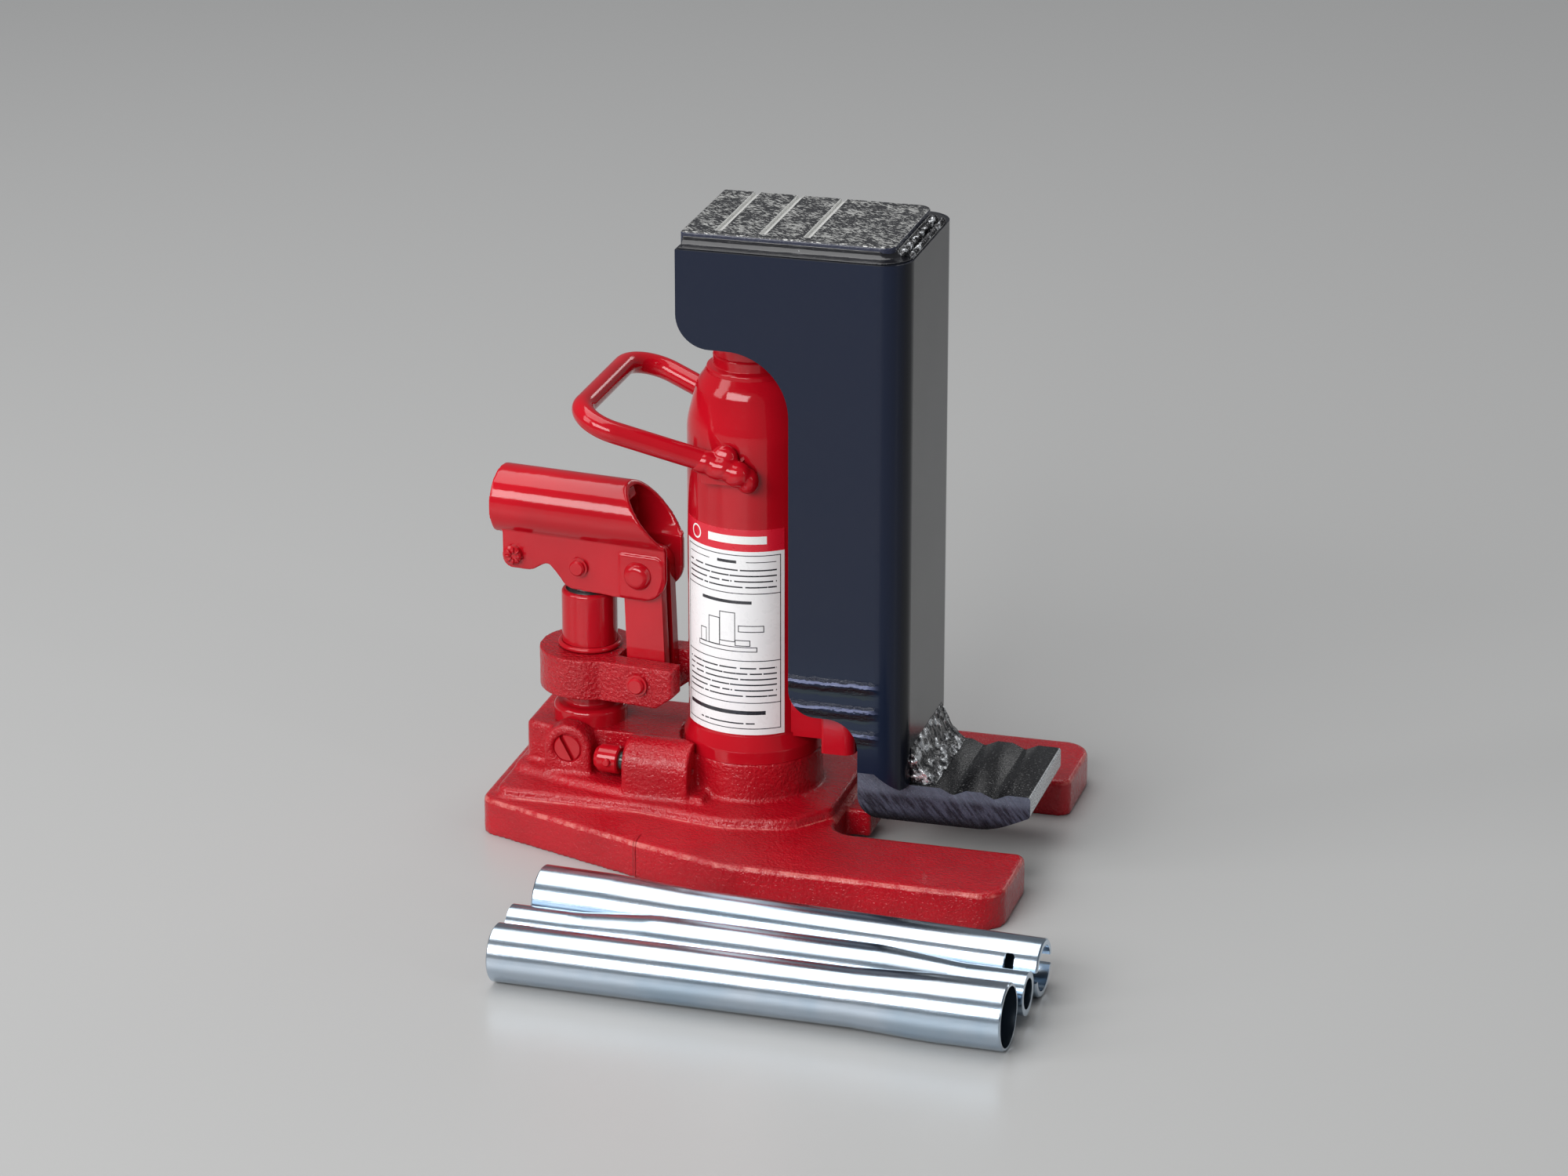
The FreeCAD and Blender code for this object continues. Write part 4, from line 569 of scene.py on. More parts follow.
@dataclass(frozen=True)
class PrintedLabel:
    """White film with a red header, ruled frames, plain dashes in place of print and a block diagram.

    A box is its left and right ends along the film and its low and high ends up the tank, in millimetres.
    """

    name: str = "printed_label"
    radius: float = 23.8
    header: float = 113.8
    start: float = -150.0
    rule: float = 0.34
    ink: Colour = (0.022, 0.022, 0.028)
    red: Colour = (0.62, 0.010, 0.028)
    white: Colour = (0.82, 0.82, 0.80)
    frames: tuple[Box, ...] = (
        (1.4, 41.8, 45.6, 112.4), (9.0, 33.0, 75.4, 77.4), (14.0, 19.0, 77.2, 87.8), (18.8, 25.0, 79.0, 90.4),
        (24.8, 30.5, 77.6, 80.0), (26.0, 35.5, 83.0, 85.6), (10.0, 13.0, 77.2, 82.6))
    bars: tuple[Box, ...] = (
        (1.4, 41.8, 97.6, 97.94), (1.4, 41.8, 71.8, 72.14), (1.4, 41.8, 55.6, 55.94),
        (18.0, 25.5, 109.2, 110.3), (3.0, 14.5, 109.6, 109.9), (29.0, 40.0, 109.6, 109.9),
        (11.0, 31.0, 93.8, 95.0), (3.0, 36.0, 51.2, 52.7))
    paragraphs: tuple[tuple[Box, float], ...] = (
        ((3.0, 40.2, 99.2, 107.8), 2.15), ((3.0, 40.2, 57.4, 70.4), 2.15), ((10.0, 32.0, 46.8, 48.9), 2.1))
    header_bar: Box = (14.0, 36.5, 116.6, 119.6)
    ring_middle: tuple[float, float] = (7.5, 118.0)
    ring: tuple[float, float] = (2.1, 2.7)

    def material(self) -> Material:
        """Returns the printed film as a material."""
        skin = Skin(self.name)
        turned = skin.stretched((1, 1, 1), (0, 0, math.radians(180)))
        east, north, _ = skin.node("ShaderNodeSeparateXYZ", {0: turned})
        angle = skin.node("ShaderNodeMath", {0: north, 1: east}, operation="ARCTAN2")[0]
        across = (angle - math.radians(self.start + 180)) * self.radius
        paper = skin.blend(skin.noise(9, 2), (0.86, 0.86, 0.86), (0.81, 0.81, 0.82))
        shade = skin.blend(self._ink(skin, across), paper, self.ink)
        band = skin.z.above(self.header)
        shade = skin.blend(band, shade, self.red)
        shade = skin.blend(band * self._header(skin, across), shade, self.white)
        return skin.finish(Base_Color=shade, Roughness=0.24 + 0.08 * skin.noise(3, 2), Coat_Weight=0.25,
                           Coat_Roughness=0.08, Normal=skin.bump(skin.noise(6, 1), 0.03))

    @staticmethod
    def _box(skin: Skin, across: Wire, left: float, right: float, low: float, high: float) -> Wire:
        """Returns 1 inside a rectangle of the label."""
        return across.within(left, right) * skin.z.within(low, high)

    def _outline(self, skin: Skin, across: Wire, left: float, right: float, low: float, high: float) -> Wire:
        """Returns 1 on a thin rectangle's four lines."""
        rule = self.rule
        whole = self._box(skin, across, left, right, low, high)
        return whole - self._box(skin, across, left + rule, right - rule, low + rule, high - rule)

    def _dashes(self, skin: Skin, across: Wire, block: Box, pitch: float) -> Wire:
        """Returns rows of uneven dashes, pitch apart, that fill a rectangle."""
        row = (skin.z - block[2]) / pitch
        spot = skin.node("ShaderNodeCombineXYZ", {0: across * 0.55, 1: row.whole() * 7.3, 2: pitch})[0]
        words = skin.node("ShaderNodeTexNoise", {"Vector": spot, "Scale": 1.0, "Detail": 1.0})[0].above(0.36)
        return self._box(skin, across, *block) * words * row.fraction().within(0.34, 0.60)

    def _ink(self, skin: Skin, across: Wire) -> Wire:
        """Returns the dark print of the label's white part."""
        parts = [self._outline(skin, across, *frame) for frame in self.frames]
        parts += [self._box(skin, across, *bar) for bar in self.bars]
        parts += [self._dashes(skin, across, block, pitch) for block, pitch in self.paragraphs]
        return reduce(Wire.at_least, parts)

    def _header(self, skin: Skin, across: Wire) -> Wire:
        """Returns the pale ring and bar in the header."""
        along, up = self.ring_middle
        far = skin.node("ShaderNodeCombineXYZ", {0: across - along, 1: skin.z - up})[0]
        reach = next(w for w in skin.node("ShaderNodeVectorMath", {0: far}, operation="LENGTH")
                     if w.socket.name == "Value")
        return reach.within(*self.ring).at_least(self._box(skin, across, *self.header_bar))


@dataclass(frozen=True)
class StudioFloor:
    """Pale grey satin sheet under the jack."""

    name: str = "pale_floor"
    colour: Colour = (0.43, 0.43, 0.425)

    def material(self) -> Material:
        """Returns the floor's material."""
        skin = Skin(self.name)
        grain = skin.noise(1.6, 3, 0.6)
        return skin.finish(Base_Color=self.colour, Roughness=0.30 + 0.06 * grain,
                           Normal=skin.bump(grain, 0.02), Specular_IOR_Level=0.5)


# ---- mesh work ----

def add_object(name: str, data: bpy.types.ID) -> Object:
    """Returns a new object with the data, in the scene at the origin."""
    made = bpy.data.objects.new(name, data)
    bpy.context.scene.collection.objects.link(made)
    return made


def mesh_object(name: str, shape: bmesh.types.BMesh) -> Object:
    """Returns a new object with a bmesh's faces, and frees the bmesh."""
    mesh = bpy.data.meshes.new(name)
    shape.to_mesh(mesh)
    shape.free()
    return add_object(name, mesh)


def even_skin(made: Object, voxel: float, rounds: int) -> None:
    """Adds a remesh at voxel millimetres and a smoothing of so many rounds."""
    remesh = made.modifiers.new("even_skin", "REMESH")
    remesh.mode = "VOXEL"
    remesh.voxel_size = voxel * MM
    smooth = made.modifiers.new("soft_edges", "SMOOTH")
    smooth.factor = SOFTENING
    smooth.iterations = rounds


class Bench:
    """Makes, reshapes and hands over pieces."""

    def __init__(self, frame: dict) -> None:
        """Keeps the loaded frame.
        """
        self.frame = frame
        self.body_of = {node: body for body, nodes in frame["record"]["behaviour"]["bodies"].items()
                        for node in nodes}
        self.slot_of = {part["node"]: part["material_slot"] for part in frame["record"]["subparts"]}

    def dress(self, material: Material, *nodes: str) -> None:
        """Gives frame nodes a material."""
        for node in nodes:
            piece = self.frame["nodes"][node]
            piece.data.materials.clear()
            piece.data.materials.append(material)
            LOG.info("dressed %s in %s", node, material.name)

    def copy_of(self, node: str, name: str) -> Object:
        """Returns a new piece with a merged copy of a frame node's mesh."""
        mesh = self.frame["nodes"][node].data.copy()
        shape = bmesh.new()
        shape.from_mesh(mesh)
        bmesh.ops.remove_doubles(shape, verts=shape.verts, dist=MERGE_DISTANCE)
        shape.to_mesh(mesh)
        shape.free()
        mesh.name = name
        return add_object(name, mesh)

    @staticmethod
    def settle(made: Object) -> Object:
        """Turns a piece and its modifiers into a plain smooth mesh."""
        bpy.context.view_layer.update()
        graph = bpy.context.evaluated_depsgraph_get()
        mesh = bpy.data.meshes.new_from_object(made.evaluated_get(graph))
        if made.type == "MESH":
            made.modifiers.clear()
            made.data = mesh
        else:
            solid = add_object(made.name + "_mesh", mesh)
            bpy.data.objects.remove(made)
            made = solid
        made.data.shade_smooth()
        return made

    def hand_over(self, made: Object, body: str, slot: str, material: Material,
                  *stands_for: str) -> Object:
        """Dresses a piece, ties it to its body and hides the frame nodes that it stands for."""
        made.data.materials.clear()
        made.data.materials.append(material)
        made.data.polygons.foreach_set("material_index", [0] * len(made.data.polygons))
        if stands_for:
            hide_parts(*stands_for)
        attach(made, body)
        LOG.info("made %s: %d faces", made.name, len(made.data.polygons))
        return made


def add_group(made: Object, tree: NodeTree, **inputs: Any) -> None:
    """Adds a Geometry Nodes modifier and sets the tree's named inputs by their identifiers."""
    modifier = made.modifiers.new(tree.name, "NODES")
    modifier.node_group = tree
    for item in tree.interface.items_tree:
        key = item.name.replace(" ", "_").lower()
        if item.item_type == "SOCKET" and item.in_out == "INPUT" and key in inputs:
            modifier[item.identifier] = inputs[key]


class ShapeTree(Graph):
    """A Geometry Nodes tree with named inputs that ends in Realize Instances and Set Material."""

    def __init__(self, name: str, inputs: Sequence[tuple[str, str, Any]]) -> None:
        """Starts the tree.

        Args:
            name: the tree's name.
            inputs: name, socket type and default of each input after the geometry.
        """
        super().__init__(bpy.data.node_groups.new(name, "GeometryNodeTree"))
        self.tree.interface.new_socket("Geometry", in_out="INPUT", socket_type="NodeSocketGeometry")
        self.tree.interface.new_socket("Geometry", in_out="OUTPUT", socket_type="NodeSocketGeometry")
        for label, kind, value in inputs + (("Finish", "NodeSocketMaterial", None),):
            socket = self.tree.interface.new_socket(label, in_out="INPUT", socket_type=kind)
            if value is not None:
                socket.default_value = value
        self.given = {wire.socket.name: wire for wire in self.node("NodeGroupInput")}

    def close(self, geometry: Wire) -> NodeTree:
        """Realizes the geometry, sets its material and returns the finished tree."""
        real = self.node("GeometryNodeRealizeInstances", {0: geometry})[0]
        dressed = self.node("GeometryNodeSetMaterial", {"Geometry": real,
                                                        "Material": self.given["Finish"]})[0]
        self.node("NodeGroupOutput", {0: dressed})
        return self.tree


def rough_skin_tree() -> NodeTree:
    """Returns a tree that pushes a surface in and out by two sizes of lumps, with a stated seed."""
    tree = ShapeTree("rough_skin", (("Depth", "NodeSocketFloat", 0.1), ("Lump", "NodeSocketFloat", 4.0),
                                    ("Ridges", "NodeSocketFloat", 0.0), ("Seed", "NodeSocketFloat", 1.0)))
    place = tree.node("GeometryNodeInputPosition")[0]
    normal = tree.node("GeometryNodeInputNormal")[0]
    point = tree.node("ShaderNodeVectorMath", {0: place, "Scale": 1000.0}, operation="SCALE")[0]
    size = 1.0 / tree.given["Lump"]
    broad = tree.node("ShaderNodeTexNoise", {"Vector": point, "W": tree.given["Seed"], "Scale": size,
                                             "Detail": 3.0}, noise_dimensions="4D")[0]
    sharp = tree.node("ShaderNodeTexVoronoi", {"Vector": point, "Scale": size * 1.4}, feature="SMOOTH_F1")[0]
    push = (broad - 0.5) * 2.0 + (0.5 - sharp) * tree.given["Ridges"]
    offset = tree.node("ShaderNodeVectorMath", {0: normal, "Scale": push * tree.given["Depth"] * MM},
                       operation="SCALE")[0]
    moved = tree.node("GeometryNodeSetPosition", {"Geometry": tree.given["Geometry"], "Offset": offset})[0]
    return tree.close(moved)


def bead_tree() -> NodeTree:
    """Returns a tree that lays overlapping weld scales along a curve."""
    tree = ShapeTree("weld_bead", (("Radius", "NodeSocketFloat", 1.6), ("Pitch", "NodeSocketFloat", 1.1),
                                   ("Uneven", "NodeSocketFloat", 0.25), ("Seed", "NodeSocketInt", 3)))
    even = tree.node("GeometryNodeResampleCurve", {"Curve": tree.given["Geometry"],
                                                   "Length": tree.given["Pitch"] * MM}, mode="LENGTH")[0]
    scale = tree.node("GeometryNodeMeshIcoSphere", {"Radius": 1.0, "Subdivisions": 2})[0]
    uneven, radius = tree.given["Uneven"], tree.given["Radius"]
    spread = tree.node("FunctionNodeRandomValue", {"Min": 1.0 - uneven, "Max": 1.0 + uneven,
                                                   "Seed": tree.given["Seed"]}, data_type="FLOAT")[0]
    size = tree.node("ShaderNodeCombineXYZ", {0: spread * radius * MM, 1: radius * MM,
                                              2: spread * radius * MM})[0]
    laid = tree.node("GeometryNodeInstanceOnPoints", {"Points": even, "Instance": scale, "Scale": size})[0]
    return tree.close(laid)


def ribs_tree() -> NodeTree:
    """Returns a tree that stands small ribs in a ring about +Z."""
    tree = ShapeTree("ring_of_ribs", (("Count", "NodeSocketInt", 12), ("Ring", "NodeSocketFloat", 3.0),
                                      ("Width", "NodeSocketFloat", 0.5), ("Height", "NodeSocketFloat", 1.2)))
    ring = tree.node("GeometryNodeMeshCircle", {"Vertices": tree.given["Count"],
                                                "Radius": tree.given["Ring"] * MM})[0]
    size = tree.node("ShaderNodeCombineXYZ", {0: tree.given["Width"] * 4 * MM, 1: tree.given["Width"] * MM,
                                              2: tree.given["Height"] * MM})[0]
    rib = tree.node("GeometryNodeMeshCube", {"Size": size})[0]
    place = tree.node("GeometryNodeInputPosition")[0]
    turn = tree.node("FunctionNodeAlignRotationToVector", {"Vector": place}, axis="X")[0]
    stood = tree.node("GeometryNodeInstanceOnPoints", {"Points": ring, "Instance": rib, "Rotation": turn})[0]
    return tree.close(stood)


def path_curve(name: str, points: Sequence[Vector]) -> Object:
    """Returns a curve object through points in metres."""
    data = bpy.data.curves.new(name, "CURVE")
    data.dimensions = "3D"
    line = data.splines.new("POLY")
    line.points.add(len(points) - 1)
    for spot, point in zip(line.points, points):
        spot.co = (*point, 1)
    return add_object(name, data)


def swept(name: str, path: Sequence[tuple[Vector, Vector]], section: Sequence[tuple[float, float]],
          low: float) -> Object:
    """Returns a closed solid with one section along a level path.

    Args:
        name: the piece's name.
        path: points in millimetres, each with the level direction that points outwards there.
        section: outward distance and height above low of each corner of the section.
        low: the height of the section's foot.
    """
    shape = bmesh.new()
    rings = []
    for point, outward in path:
        rings.append([shape.verts.new((point + outward * out + Vector((0, 0, low + up))) * MM)
                      for out, up in section])
    count = len(section)
    for first, second in zip(rings, rings[1:]):
        for i in range(count):
            shape.faces.new((first[i], first[(i + 1) % count], second[(i + 1) % count], second[i]))
    shape.faces.new(rings[0])
    shape.faces.new(reversed(rings[-1]))
    bmesh.ops.recalc_face_normals(shape, faces=shape.faces)
    return mesh_object(name, shape)


# ---- sub-assemblies ----

SMOOTH_RED = ((0.46, 0.0042, 0.0125), (0.37, 0.003, 0.009))
CAST_RED = ((0.43, 0.0042, 0.0120), (0.33, 0.003, 0.009))


def finished(finish: Any) -> Any:
    """Returns a dataclass field that holds the finish's material."""
    return field(default_factory=finish.material)


@dataclass
class Paints:
    """The finished materials that sub-assemblies share."""

    red_drawn: Material = finished(Enamel("red_enamel_drawn", *SMOOTH_RED, Surface.DRAWN))
    red_sheet: Material = finished(Enamel("red_enamel_sheet", *SMOOTH_RED, Surface.SHEET))
    red_cast: Material = finished(Enamel("red_enamel_cast", *CAST_RED, Surface.CAST, pits=0.32))
    red_base: Material = finished(BaseEnamel("red_enamel_base", *CAST_RED, Surface.CAST))
    red_screw: Material = finished(ScrewEnamel("red_enamel_screw", *SMOOTH_RED, Surface.DRAWN))
    column: Material = finished(ColumnPaint())
    bead_black: Material = finished(WeldMetal("black_enamel_weld", bare=-0.4, lump=4.5, depth=0.10))
    bead_bright: Material = finished(WeldMetal("bright_weld", bare=0.26, lump=4.2, depth=1.3))
    pad_face: Material = finished(RubbedPlate())
    toe_face: Material = finished(ForgedToe())
    zinc: Material = finished(Plated(
        "zinc_plate", colour=(0.50, 0.57, 0.65), tint=(0.40, 0.50, 0.60), roughness=0.16))
    steel: Material = finished(Plated(
        "ground_steel", colour=(0.62, 0.62, 0.63), tint=(0.50, 0.51, 0.53), roughness=0.22,
        streak=(0.05, 0.05, 3.0)))
    dark_steel: Material = finished(Plated(
        "oiled_steel", colour=(0.10, 0.10, 0.11), tint=(0.16, 0.15, 0.15), roughness=0.34,
        streak=(0.4, 0.4, 2.0)))
    rubber: Material = finished(Rubber())
    label: Material = finished(PrintedLabel())


@dataclass
class CastIron:
    """Castings, softened as a sand mould leaves them."""

    bench: Bench
    paints: Paints
    skin: NodeTree
    bevel_segments: int = 3
    bevel_angle: float = 50.0

    def soften(self, node: str, finish: Material, voxel: float, rounds: int, depth: float,
               lump: float, ridges: float = 0.0) -> Object:
        """Makes a rounded, slightly lumpy piece that stands for a frame node.

        Args:
            node: the frame node.
            finish: the material.
            voxel: the remesh size in millimetres.
            rounds: how many times the surface is smoothed.
            depth: the height of the lumps in millimetres.
            lump: the size of the lumps in millimetres.
            ridges: how strongly the lumps pinch into ridges.

        Returns:
            The new piece.
        """
        made = self.bench.copy_of(node, node + "_finished")
        low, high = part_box(node)
        even_skin(made, voxel, rounds)
        add_group(made, self.skin, depth=depth, lump=lump, ridges=ridges, seed=float(len(node)),
                  finish=finish)
        made = self.bench.settle(made)
        for vertex in made.data.vertices:
            vertex.co = [min(max(value, least), most) for value, least, most in zip(vertex.co, low, high)]
        return self.stand_in(made, node, finish)

    def ease_edges(self, node: str, width: float, finish: Material) -> Object:
        """Makes a copy of a frame node with its sharp edges rounded by width millimetres."""
        made = self.bench.copy_of(node, node + "_finished")
        bevel = made.modifiers.new("eased_edges", "BEVEL")
        bevel.width = width * MM
        bevel.segments = self.bevel_segments
        bevel.limit_method = "ANGLE"
        bevel.angle_limit = math.radians(self.bevel_angle)
        weighted = made.modifiers.new("even_shading", "WEIGHTED_NORMAL")
        weighted.keep_sharp = False
        return self.stand_in(self.bench.settle(made), node, finish)

    def stand_in(self, made: Object, node: str, finish: Material) -> Object:
        """Hands over a piece in place of a frame node, on the node's own body."""
        return self.bench.hand_over(made, self.bench.body_of[node], self.bench.slot_of[node], finish, node)

    def build(self) -> None:
        """Makes the base and the link collar."""
        self.soften("base_casting", self.paints.red_base, voxel=0.85, rounds=3, depth=0.11, lump=5.0)
        self.soften("link_bracket", self.paints.red_cast, voxel=0.5, rounds=3, depth=0.14, lump=2.6)


@dataclass
class LiftColumn:
    """The column with its head plate, toe and welds.

    The section of the head weld is given as outward distance and height above the edge. A bead is its name,
    its distance in front of the plate, its height above the edge and its radius.
    """

    bench: Bench
    paints: Paints
    castings: CastIron
    bead: NodeTree
    plate_half: float = 27.3
    plate_rear: float = -17.6
    plate_front: float = 58.6
    plate_corner: float = 5.6
    edge: float = 227.45
    side_steps: int = 40
    corner_steps: int = 8
    front_steps: int = 24
    section: tuple[tuple[float, float], ...] = ((0.0, 0.0), (0.0, 3.1), (0.7, 1.8), (2.0, 0.75), (3.6, 0.35),
                                                (5.2, 0.4), (6.1, 0.5), (6.1, 0.0))
    beads: tuple[tuple[str, float, float, float], ...] = (("upper", 2.0, 1.5, 1.2), ("lower", 4.9, 0.9, 1.0))
    bead_inset: float = 5.0

    def build(self) -> None:
        """Dresses the column and makes the welds and the worn faces."""
        self.bench.dress(self.paints.column, "lift_column")
        self.bench.dress(self.paints.pad_face, "head_plate")
        self.castings.ease_edges("toe", 0.7, self.paints.toe_face)
        self.castings.soften("toe_weld", self.paints.bead_bright, voxel=0.3, rounds=6, depth=0.7, lump=3.6,
                             ridges=0.6)
        self.head_fillet()
        self.front_beads()
        self.bench.dress(self.paints.steel, "ram", "ram_piston", "ram_stop_ring")
        self.bench.dress(self.paints.rubber, "ram_seal")

    def outline(self) -> list[tuple[Vector, Vector]]:
        """Returns the head plate's near side, front and far side as points with outward directions."""
        path = []
        centre_x = self.plate_front - self.plate_corner
        reach = centre_x - self.plate_rear
        inner = self.plate_half - self.plate_corner
        for i in range(self.side_steps):
            along = self.plate_rear + reach * i / self.side_steps
            path.append((Vector((along, -self.plate_half, 0)), Vector((0, -1, 0))))
        for side in (-1, 1):
            first = math.radians(-90 if side < 0 else 0)
            for i in range(self.corner_steps + 1):
                angle = first + math.radians(90 * i / self.corner_steps)
                outward = Vector((math.cos(angle), math.sin(angle), 0))
                path.append((Vector((centre_x, inner * side, 0)) + outward * self.plate_corner, outward))
            if side < 0:
                for i in range(1, self.front_steps):
                    across = inner * (2 * i / self.front_steps - 1)
                    path.append((Vector((self.plate_front, across, 0)), Vector((1, 0, 0))))
        for i in range(1, self.side_steps + 1):
            along = self.plate_rear + reach * (1 - i / self.side_steps)
            path.append((Vector((along, self.plate_half, 0)), Vector((0, 1, 0))))
        return path

    def head_fillet(self) -> None:
        """Makes the concave weld between the head plate and the column's upper edge."""
        made = swept("head_weld", self.outline(), self.section, self.edge)
        even_skin(made, voxel=0.3, rounds=3)
        add_group(made, self.castings.skin, depth=0.14, lump=8.0, ridges=0.0, seed=5.0,
                  finish=self.paints.bead_black)
        made = Bench.settle(made)
        self.bench.hand_over(made, "lift", "black_enamel", self.paints.bead_black, "head_weld_near",
                             "head_weld_far", "head_weld_front")

    def front_beads(self) -> None:
        """Lays two runs of bright weld scales over the fillet's front."""
        half = self.plate_half - self.bead_inset
        for name, out, up, radius in self.beads:
            ends = [Vector((self.plate_front + out, half * side, self.edge + up)) * MM for side in (-1, 1)]
            curve = path_curve("head_bead_" + name, ends)
            add_group(curve, self.bead, radius=radius, pitch=1.15, uneven=0.3, seed=len(name),
                      finish=self.paints.bead_bright)
            made = Bench.settle(curve)
            self.bench.hand_over(made, "lift", "weld_metal", self.paints.bead_bright)


@dataclass
class ReservoirUnit:
    """The reservoir with its gland nut, guide, carry handle and label.

    Each lump of the handle's far end is the middle and the three half sizes of an ellipsoid, in millimetres.
    """

    bench: Bench
    paints: Paints
    skin: NodeTree
    end_lumps: tuple[tuple[Triple, Triple], ...] = (
        ((-10.0, 27.9, 148.0), (6.0, 4.3, 4.4)),
        ((-4.0, 27.8, 146.2), (6.5, 4.4, 4.7)),
        ((2.0, 27.5, 144.2), (5.2, 4.6, 4.9)),
        ((-3.0, 25.8, 149.6), (5.0, 3.4, 4.6)),
        ((5.4, 26.0, 141.6), (4.2, 3.8, 4.8)))

    def build(self) -> None:
        """Dresses the unit and makes the carry handle's ends."""
        red = self.paints.red_drawn
        self.bench.dress(red, "reservoir_tank", "gland_nut", "guide_rail", "carry_handle", "handle_pad_near",
                         "handle_pad_far")
        self.bench.dress(self.paints.rubber, "tank_gasket", "ram_wiper", "filler_plug")
        self.bench.dress(self.paints.steel, "pressure_cylinder")
        self.bench.dress(self.paints.label, "label")
        for side, name in ((-1, "near"), (1, "far")):
            self.handle_end(side, name)

    def handle_end(self, side: int, name: str) -> None:
        """Forges one end of the carry handle flat and melts it into a weld on the reservoir's wall."""
        shape = bmesh.new()
        for (x, y, z), size in self.end_lumps:
            place = Matrix.Translation(Vector((x, y * side, z)) * MM)
            bmesh.ops.create_icosphere(shape, subdivisions=3, radius=1.0,
                                       matrix=place @ Matrix.Diagonal((*(Vector(size) * MM), 1)))
        made = mesh_object("handle_end_" + name, shape)
        even_skin(made, voxel=0.45, rounds=14)
        add_group(made, self.skin, depth=0.16, lump=3.4, ridges=0.1, seed=3.0 + side,
                  finish=self.paints.red_drawn)
        made = Bench.settle(made)
        self.bench.hand_over(made, "base", "red_enamel", self.paints.red_drawn)


@dataclass
class PumpUnit:
    """The pump, its linkage and the handle socket."""

    bench: Bench
    paints: Paints
    castings: CastIron
    ribs: int = 8
    rib_ring: float = 2.1
    rib_width: float = 0.55
    rib_height: float = 1.0
    rib_sink: float = 0.1

    def build(self) -> None:
        """Dresses the pump and softens the pressed socket."""
        red, sheet = self.paints.red_drawn, self.paints.red_sheet
        self.bench.dress(red, "pump_cylinder", "ear_pin", "plunger_pin", "fulcrum_rivet", "clamp_bolt",
                         "clamp_nut", "snap_ring")
        self.bench.dress(sheet, "link_near", "link_far")
        self.castings.soften("handle_socket", sheet, voxel=0.42, rounds=3, depth=0.03, lump=6.0)
        self.bench.dress(self.paints.steel, "pump_plunger")
        self.bench.dress(self.paints.rubber, "pump_packing")
        self.bolt_ribs()

    def bolt_ribs(self) -> None:
        """Stands a star of small ribs on the clamp bolt's head."""
        low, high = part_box("clamp_bolt")
        made = mesh_object("clamp_bolt_ribs", bmesh.new())
        add_group(made, ribs_tree(), count=self.ribs, ring=self.rib_ring, width=self.rib_width,
                  height=self.rib_height, finish=self.paints.red_drawn)
        made = Bench.settle(made)
        middle = Vector(((low[0] + high[0]) / 2, low[1] + self.rib_sink * MM, (low[2] + high[2]) / 2))
        made.data.transform(Matrix.Translation(middle) @ Matrix.Rotation(math.radians(90), 4, "X"))
        self.bench.hand_over(made, "socket", "zinc_plate", self.paints.red_drawn)


@dataclass
class Valves:
    """The valves in the base."""

    bench: Bench
    paints: Paints

    def build(self) -> None:
        """Dresses the valves."""
        self.bench.dress(self.paints.red_drawn, "valve_plug", "release_cross_pin")
        self.bench.dress(self.paints.red_screw, "release_screw")
        self.bench.dress(self.paints.dark_steel, "passage_plug")
        self.bench.dress(self.paints.steel, "valve_spring", "valve_ball", "suction_ball", "delivery_ball",
                         "release_ball")
        self.bench.dress(self.paints.rubber, "release_o_ring")


@dataclass
class HandleTubes:
    """The three loose tubes of the pump handle."""

    bench: Bench
    paints: Paints

    def build(self) -> None:
        """Dresses the tubes."""
        self.bench.dress(self.paints.zinc, "handle_front", "handle_middle", "handle_rear")


# ---- studio ----

@dataclass(frozen=True)
class SoftLight:
    """A rectangular soft light: its place, aim, width and height in metres, and its power in watts."""

    name: str
    place: Triple
    aim: Triple
    wide: float
    tall: float
    power: float

    def hang(self) -> None:
        """Adds the light to the scene."""
        data = bpy.data.lights.new(self.name, "AREA")
        data.shape = "RECTANGLE"
        data.size = self.wide
        data.size_y = self.tall
        data.energy = self.power
        aim_at(add_object(self.name, data), Vector(self.place), Vector(self.aim) - Vector(self.place))


def aim_at(made: Object, place: Vector, towards: Vector) -> None:
    """Stands a light or a camera at a place, pointing along a direction."""
    turn = towards.to_track_quat("-Z", "Y").to_matrix().to_4x4()
    made.matrix_world = Matrix.Translation(place) @ turn


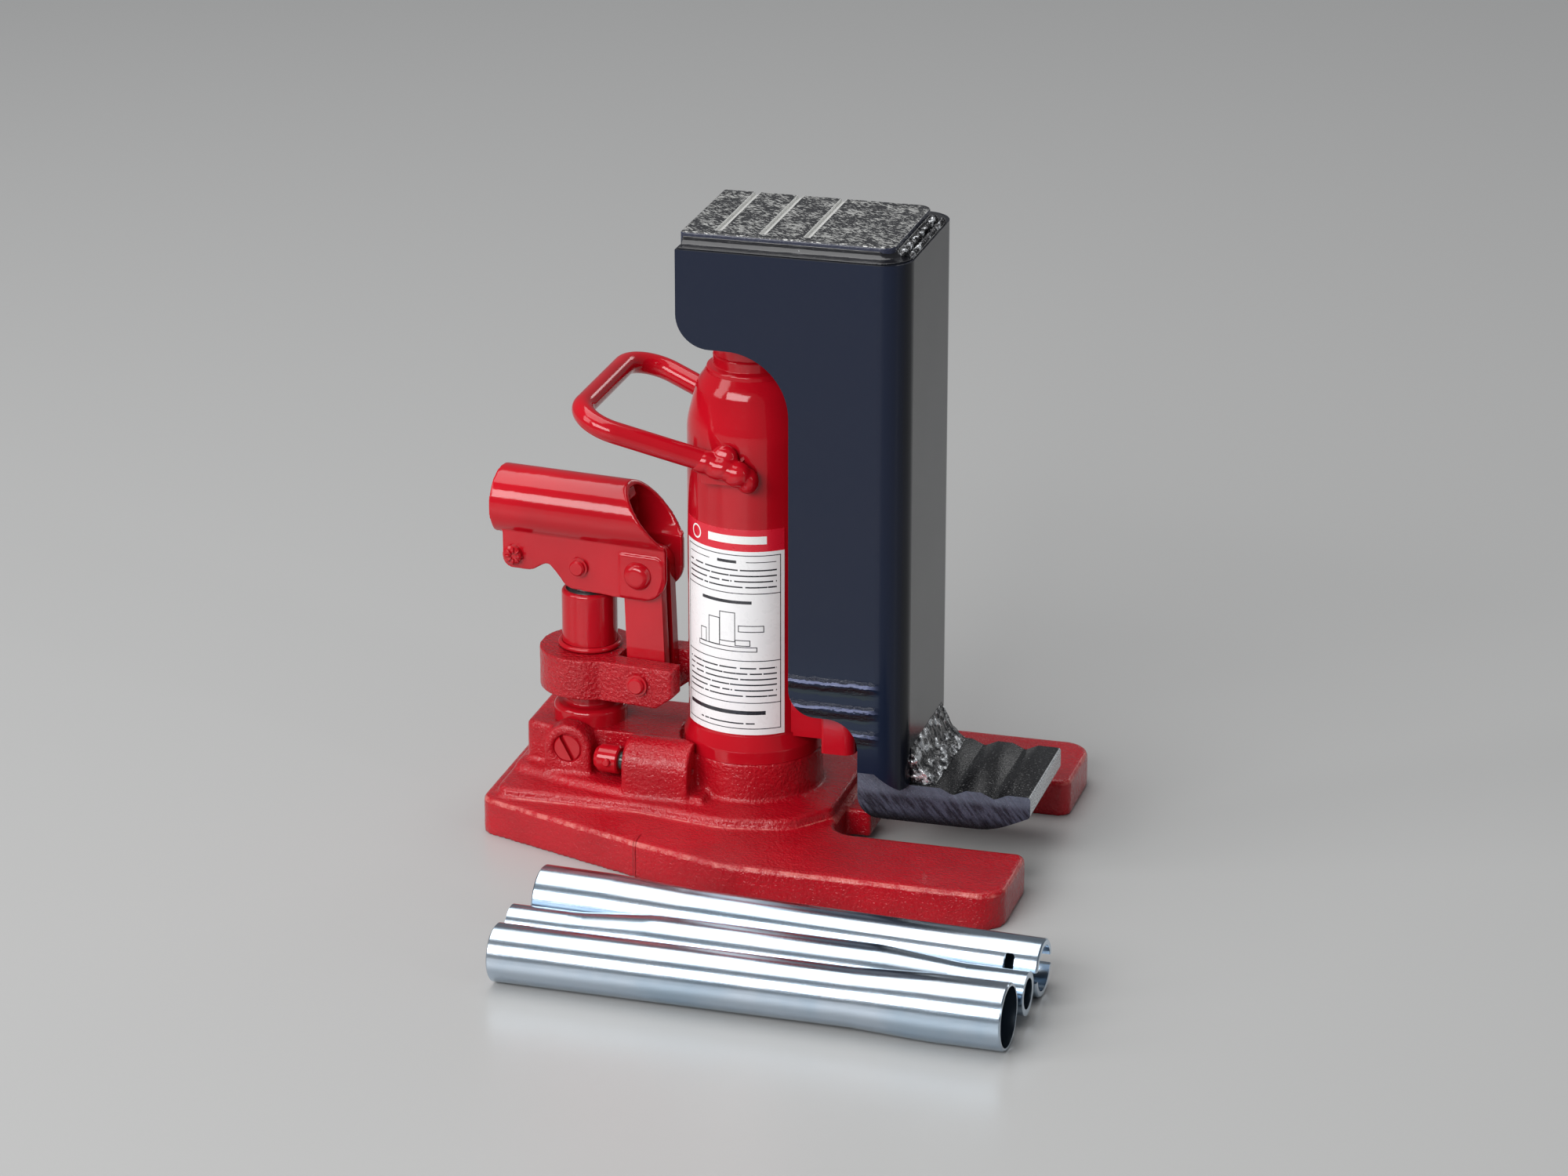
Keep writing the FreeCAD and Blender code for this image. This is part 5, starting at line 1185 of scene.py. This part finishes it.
@dataclass
class Studio:
    """The floor, the soft lights and the camera."""

    stand: Vector = field(default_factory=lambda: Vector((0.4787, -1.64701, 0.73933)))
    look: Vector = field(default_factory=lambda: Vector((-0.25528, 0.89992, -0.35351)))
    lens: float = 116.37
    sensor: float = 36.0
    sight: float = 60.0
    floor_half: float = 9.0
    air: Colour = (0.62, 0.64, 0.67)
    air_strength: float = 0.30
    lights: tuple[SoftLight, ...] = (
        SoftLight("top_light", (-0.4, 0.15, 1.9), (0, 0, 0.1), wide=1.9, tall=1.3, power=24),
        SoftLight("left_light", (-1.9, -1.1, 1.3), (0, 0, 0.14), wide=0.9, tall=1.4, power=15),
        SoftLight("right_light", (2.1, -0.9, 1.0), (0, 0, 0.12), wide=0.2, tall=1.0, power=2.5),
        SoftLight("back_light", (1.0, 2.6, 1.25), (0, 0, 0.05), wide=0.8, tall=0.6, power=5),
        SoftLight("front_light", (-0.7, -2.35, 1.4), (0, 0, 0.14), wide=2.2, tall=1.1, power=68))

    def build(self) -> None:
        """Sets out the whole studio."""
        self.floor()
        self.world()
        for light in self.lights:
            light.hang()
        self.camera()

    def floor(self) -> None:
        """Lays the floor."""
        shape = bmesh.new()
        bmesh.ops.create_grid(shape, x_segments=8, y_segments=8, size=self.floor_half)
        floor = mesh_object("floor", shape)
        floor.data.materials.append(StudioFloor().material())

    def world(self) -> None:
        """Fills the room with even grey light."""
        world = bpy.data.worlds.new("studio")
        bpy.context.scene.world = world
        world.use_nodes = True
        back = world.node_tree.nodes["Background"]
        back.inputs["Color"].default_value = (*self.air, 1)
        back.inputs["Strength"].default_value = self.air_strength

    def camera(self) -> None:
        """Sets up the camera."""
        data = bpy.data.cameras.new("camera")
        data.lens = self.lens
        data.sensor_width = self.sensor
        data.clip_end = self.sight
        camera = add_object("camera", data)
        aim_at(camera, self.stand, self.look)
        bpy.context.scene.camera = camera


def main() -> None:
    """Builds the whole scene."""
    logging.basicConfig(level=logging.INFO, format="%(name)s %(message)s")
    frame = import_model()
    bpy.context.scene.view_settings.view_transform = "Standard"
    Studio().build()
    bench = Bench(frame)
    paints = Paints()
    castings = CastIron(bench, paints, rough_skin_tree())
    castings.build()
    bead = bead_tree()
    ReservoirUnit(bench, paints, castings.skin).build()
    LiftColumn(bench, paints, castings, bead).build()
    PumpUnit(bench, paints, castings).build()
    Valves(bench, paints).build()
    HandleTubes(bench, paints).build()


if __name__ == "__main__":
    main()
